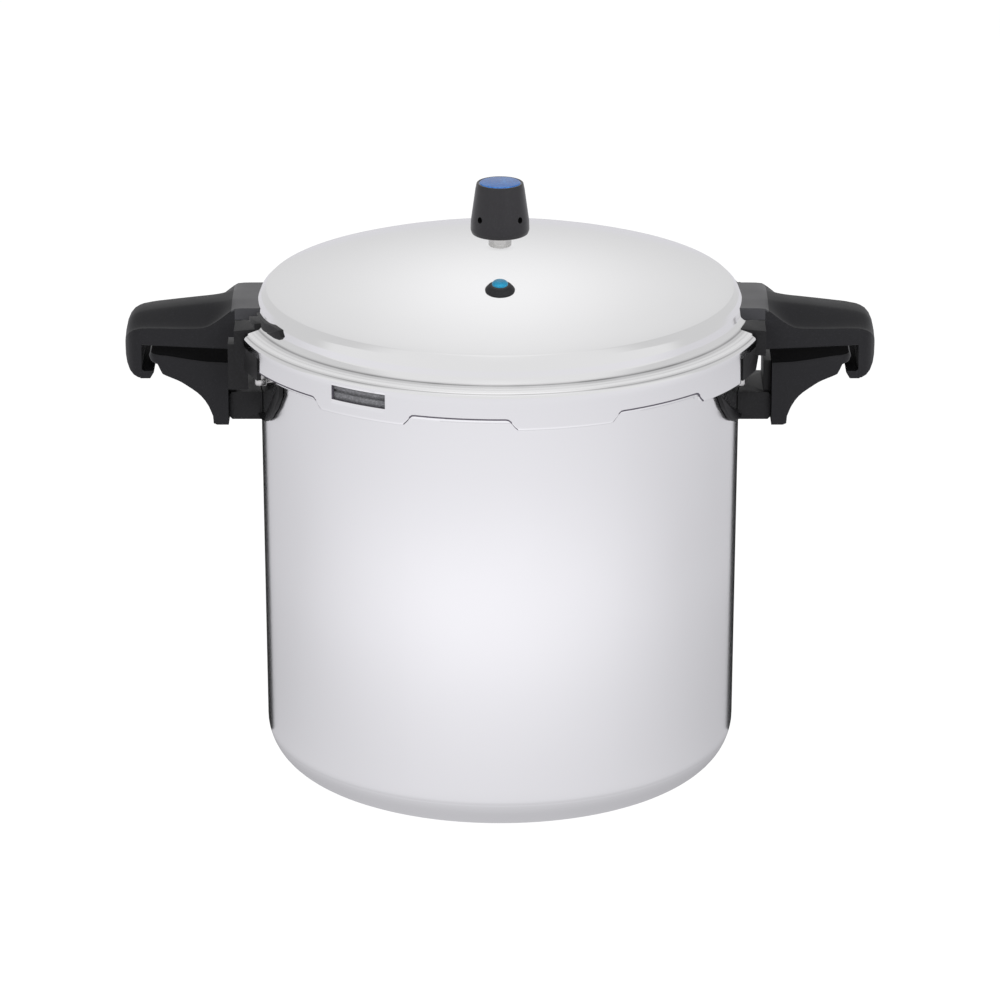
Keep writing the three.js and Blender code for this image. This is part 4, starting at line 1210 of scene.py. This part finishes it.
@dataclass
class Studio:
    """A plain pale studio, in metres: floor, world, soft lamps, edge cards and the camera."""

    camera_place: tuple[float, float, float] = (0.0, -3.795, 1.497)
    camera_pitch: float = 70.875
    lens: float = 214.1
    sensor: float = 36.0
    floor_size: float = 30.0
    backdrop_tilt: float = 37.0
    front_turn: float = 7.0
    paper_light: float = 0.4
    veil: float = 0.25
    tint: tuple[float, float, float, float] = (1.0, 0.991, 1.038, 1.0)
    card: tuple[float, float, float, float] = (157.8, 187.0, 30.0, 262.0)  # x edges, y and height, in mm

    def camera(self) -> None:
        """Sets the camera in front of and a little above the canner."""
        data = bpy.data.cameras.new("studio_camera")
        data.lens = self.lens
        data.sensor_width = self.sensor
        data.clip_end = 100
        camera = bpy.data.objects.new("studio_camera", data)
        camera.location = self.camera_place
        camera.rotation_euler = (math.radians(self.camera_pitch), 0, 0)
        bpy.context.scene.collection.objects.link(camera)
        bpy.context.scene.camera = camera

    def world(self) -> None:
        """White for the camera; for polished metal a bright backdrop behind and a bright ceiling."""
        world = bpy.data.worlds.new("studio_world")
        bpy.context.scene.world = world
        nodes = NodeTree(world)
        path = nodes.add("LightPath").outputs
        way = nodes.add("TexCoord").outputs["Generated"]
        axes = nodes.add("SeparateXYZ", way).outputs
        tilt = math.radians(self.backdrop_tilt)
        up = (0.0, -math.sin(tilt), math.cos(tilt))
        above = nodes.add("VectorMath", way, up, operation="DOT_PRODUCT").outputs["Value"]
        away = nodes.add("CombineXYZ", nodes.add("Math", axes["X"], 1.8, **TIMES), above)
        off = nodes.add("VectorMath", away, operation="LENGTH").outputs["Value"]
        ceiling = nodes.add("MapRange", axes["Z"], 0.88, 0.99, 0.0, 0.34, **SMOOTH)
        behind = nodes.add("Math", nodes.add("Math", bell(nodes, off, 0.0, 0.45, 0.335), ceiling), 0.66)
        ahead = nodes.add("MapRange", axes["Z"], 0.95, 0.995, 0.82, 1.0, **SMOOTH)
        is_behind = nodes.add("MapRange", axes["Y"], -0.1, 0.1, 0.0, 1.0, **SMOOTH)
        room = nodes.add("Mix", is_behind, i2=ahead, i3=behind)
        lit = nodes.add("Mix", path["Is Glossy Ray"], i2=self.paper_light, i3=room)
        seen = nodes.add("Math", path["Is Camera Ray"], path["Is Transmission Ray"], operation="MAXIMUM")
        strength = nodes.add("Mix", seen, i2=lit, i3=1.0)
        tones = {"i6": (1, 1, 1, 1), "i7": (1.0, 0.998, 1.008, 1)}
        tint = nodes.add("Mix", path["Is Glossy Ray"], data_type="RGBA", **tones).outputs[2]
        nodes.add("OutputWorld", nodes.add("Background", tint, strength))

    def floor_glow(self, nodes: NodeTree) -> bpy.types.Node:
        """How bright polished metal finds the floor, by the distance from the canner and the direction."""
        place = nodes.add("TexCoord").outputs["Object"]
        distance = nodes.add("VectorMath", place, operation="LENGTH").outputs["Value"]
        turn = math.radians(self.front_turn)
        front = (-math.sin(turn), -math.cos(turn), 0.0)
        along = nodes.add("VectorMath", place, front, operation="DOT_PRODUCT").outputs["Value"]
        facing = nodes.add("Math", along, distance, operation="DIVIDE")
        ahead = nodes.add("Math", nodes.add("MapRange", facing, -0.1, 1.0), 1.1, operation="POWER")
        astern = nodes.add("MapRange", facing, -0.6, -0.1, -0.07, 0.0)
        near = nodes.add("MapRange", distance, 0.16, 0.5, 0.56, 0.69)
        far = nodes.add("MapRange", distance, 0.6, 1.0, 0.0, 0.04)
        base = nodes.add("Math", nodes.add("Math", near, far), astern)
        shine = nodes.add("MapRange", distance, 0.68, 0.95, 0.23, 0.13, **SMOOTH)
        pool = nodes.add("Math", bell(nodes, distance, 0.58, 0.17, 0.12), shine)
        floor = nodes.add("Math", base, nodes.add("Math", pool, ahead, **TIMES))
        # Painted reflection: a dark ring in the floor's glow at about 1.1 m, seen only by polished metal.
        reflected_dark_ring = nodes.add("Math", floor, bell(nodes, distance, 1.1, 0.07, 0.07), operation="SUBTRACT")
        shade = nodes.add("MapRange", distance, 0.15, 0.19, 0.72, 1.0, **SMOOTH)
        contact = nodes.add("Math", reflected_dark_ring, shade, **TIMES)
        distant = nodes.add("MapRange", facing, -0.3, 0.3, 0.71, 0.82, **SMOOTH)
        horizon = nodes.add("MapRange", distance, 1.15, 1.6, 0.0, 1.0, **SMOOTH)
        return nodes.add("Mix", horizon, i2=contact, i3=distant)

    def floor(self) -> None:
        """A pale floor that shows the camera white and keeps the canner's shadow."""
        bpy.ops.object.select_all(action="DESELECT")
        bpy.ops.mesh.primitive_plane_add(size=self.floor_size, location=(0, 0, -0.1 * MM))
        floor = bpy.context.object
        floor.name = "studio_floor"
        material = bpy.data.materials.new("studio_paper")
        nodes = NodeTree(material)
        path = nodes.add("LightPath").outputs
        paper = nodes.add("BsdfDiffuse", linear("#F2F2F4"))
        veil = nodes.add("BsdfDiffuse", (self.veil, self.veil, self.veil, 1))
        white = nodes.add("Emission", (1, 1, 1, 1), 1.0 - 0.4 * self.veil)
        shown = nodes.add("AddShader", veil, white)
        mirror = nodes.add("Emission", self.tint, self.floor_glow(nodes))
        for_metal = nodes.add("MixShader", path["Is Glossy Ray"], paper, mirror)
        nodes.add("OutputMaterial", nodes.add("MixShader", path["Is Camera Ray"], for_metal, shown))
        floor.data.materials.append(material)

    def lamp(self, name: str, place: Sequence[float], aim: Sequence[float], size: float, power: float) -> None:
        """Adds a square soft lamp that metal does not mirror.

        Args:
            name: the lamp's name.
            place: where it hangs, in metres.
            aim: the point that it faces.
            size: the length of its side.
            power: its power in watts.
        """
        data = bpy.data.lights.new(name, "AREA")
        data.size = size
        data.energy = power
        lamp = bpy.data.objects.new(name, data)
        lamp.location = place
        lamp.visible_glossy = False
        lamp.rotation_euler = (Vector(aim) - Vector(place)).to_track_quat("-Z", "Y").to_euler()
        bpy.context.scene.collection.objects.link(lamp)

    def cards(self) -> None:
        """Two black cards beside the canner, which draw the dark edge of its polished wall."""
        material = bpy.data.materials.new("black_card")
        nodes = NodeTree(material)
        black = nodes.add("BsdfDiffuse", (0.004, 0.004, 0.004, 1))
        back_side = nodes.add("NewGeometry").outputs["Backfacing"]
        nodes.add("OutputMaterial", nodes.add("MixShader", back_side, black, nodes.add("BsdfTransparent")))
        inner, outer, back, height = self.card
        for word, sign in (("left", -1), ("right", 1)):
            near, far = sorted((inner * sign, outer * sign))
            corners = [(near, back, 0), (far, back, 0), (far, back, height), (near, back, height)]
            card = new_object(f"studio_flag_{word}", corners, faces=[(0, 1, 2, 3)])
            card.data.materials.append(material)
            card.visible_camera = card.visible_diffuse = card.visible_shadow = False

    def build(self) -> None:
        """Sets up the whole studio."""
        self.camera()
        self.world()
        self.floor()
        self.lamp("key", (-1.5, -2.6, 1.3), (0, 0, 0.25), 2.0, 60)
        self.lamp("fill", (1.8, -2.4, 1.2), (0, 0, 0.25), 2.0, 70)
        self.cards()
        bpy.context.scene.view_settings.view_transform = "Standard"


def main() -> None:
    """Builds the canner and its studio, and logs each piece's face count."""
    logging.basicConfig(level=logging.INFO, format="%(name)s %(message)s")
    finishes = Finishes()
    Pot().build(finishes)
    Rack().build(finishes)
    lid = Lid()
    lid.build(finishes)
    for side in Side:
        PotHandle(side).build(finishes)
        LidHandle(side, lid).build(finishes)
    Regulator().build(finishes)
    Indicator().build(finishes)
    Studio().build()


if __name__ == "__main__":
    main()
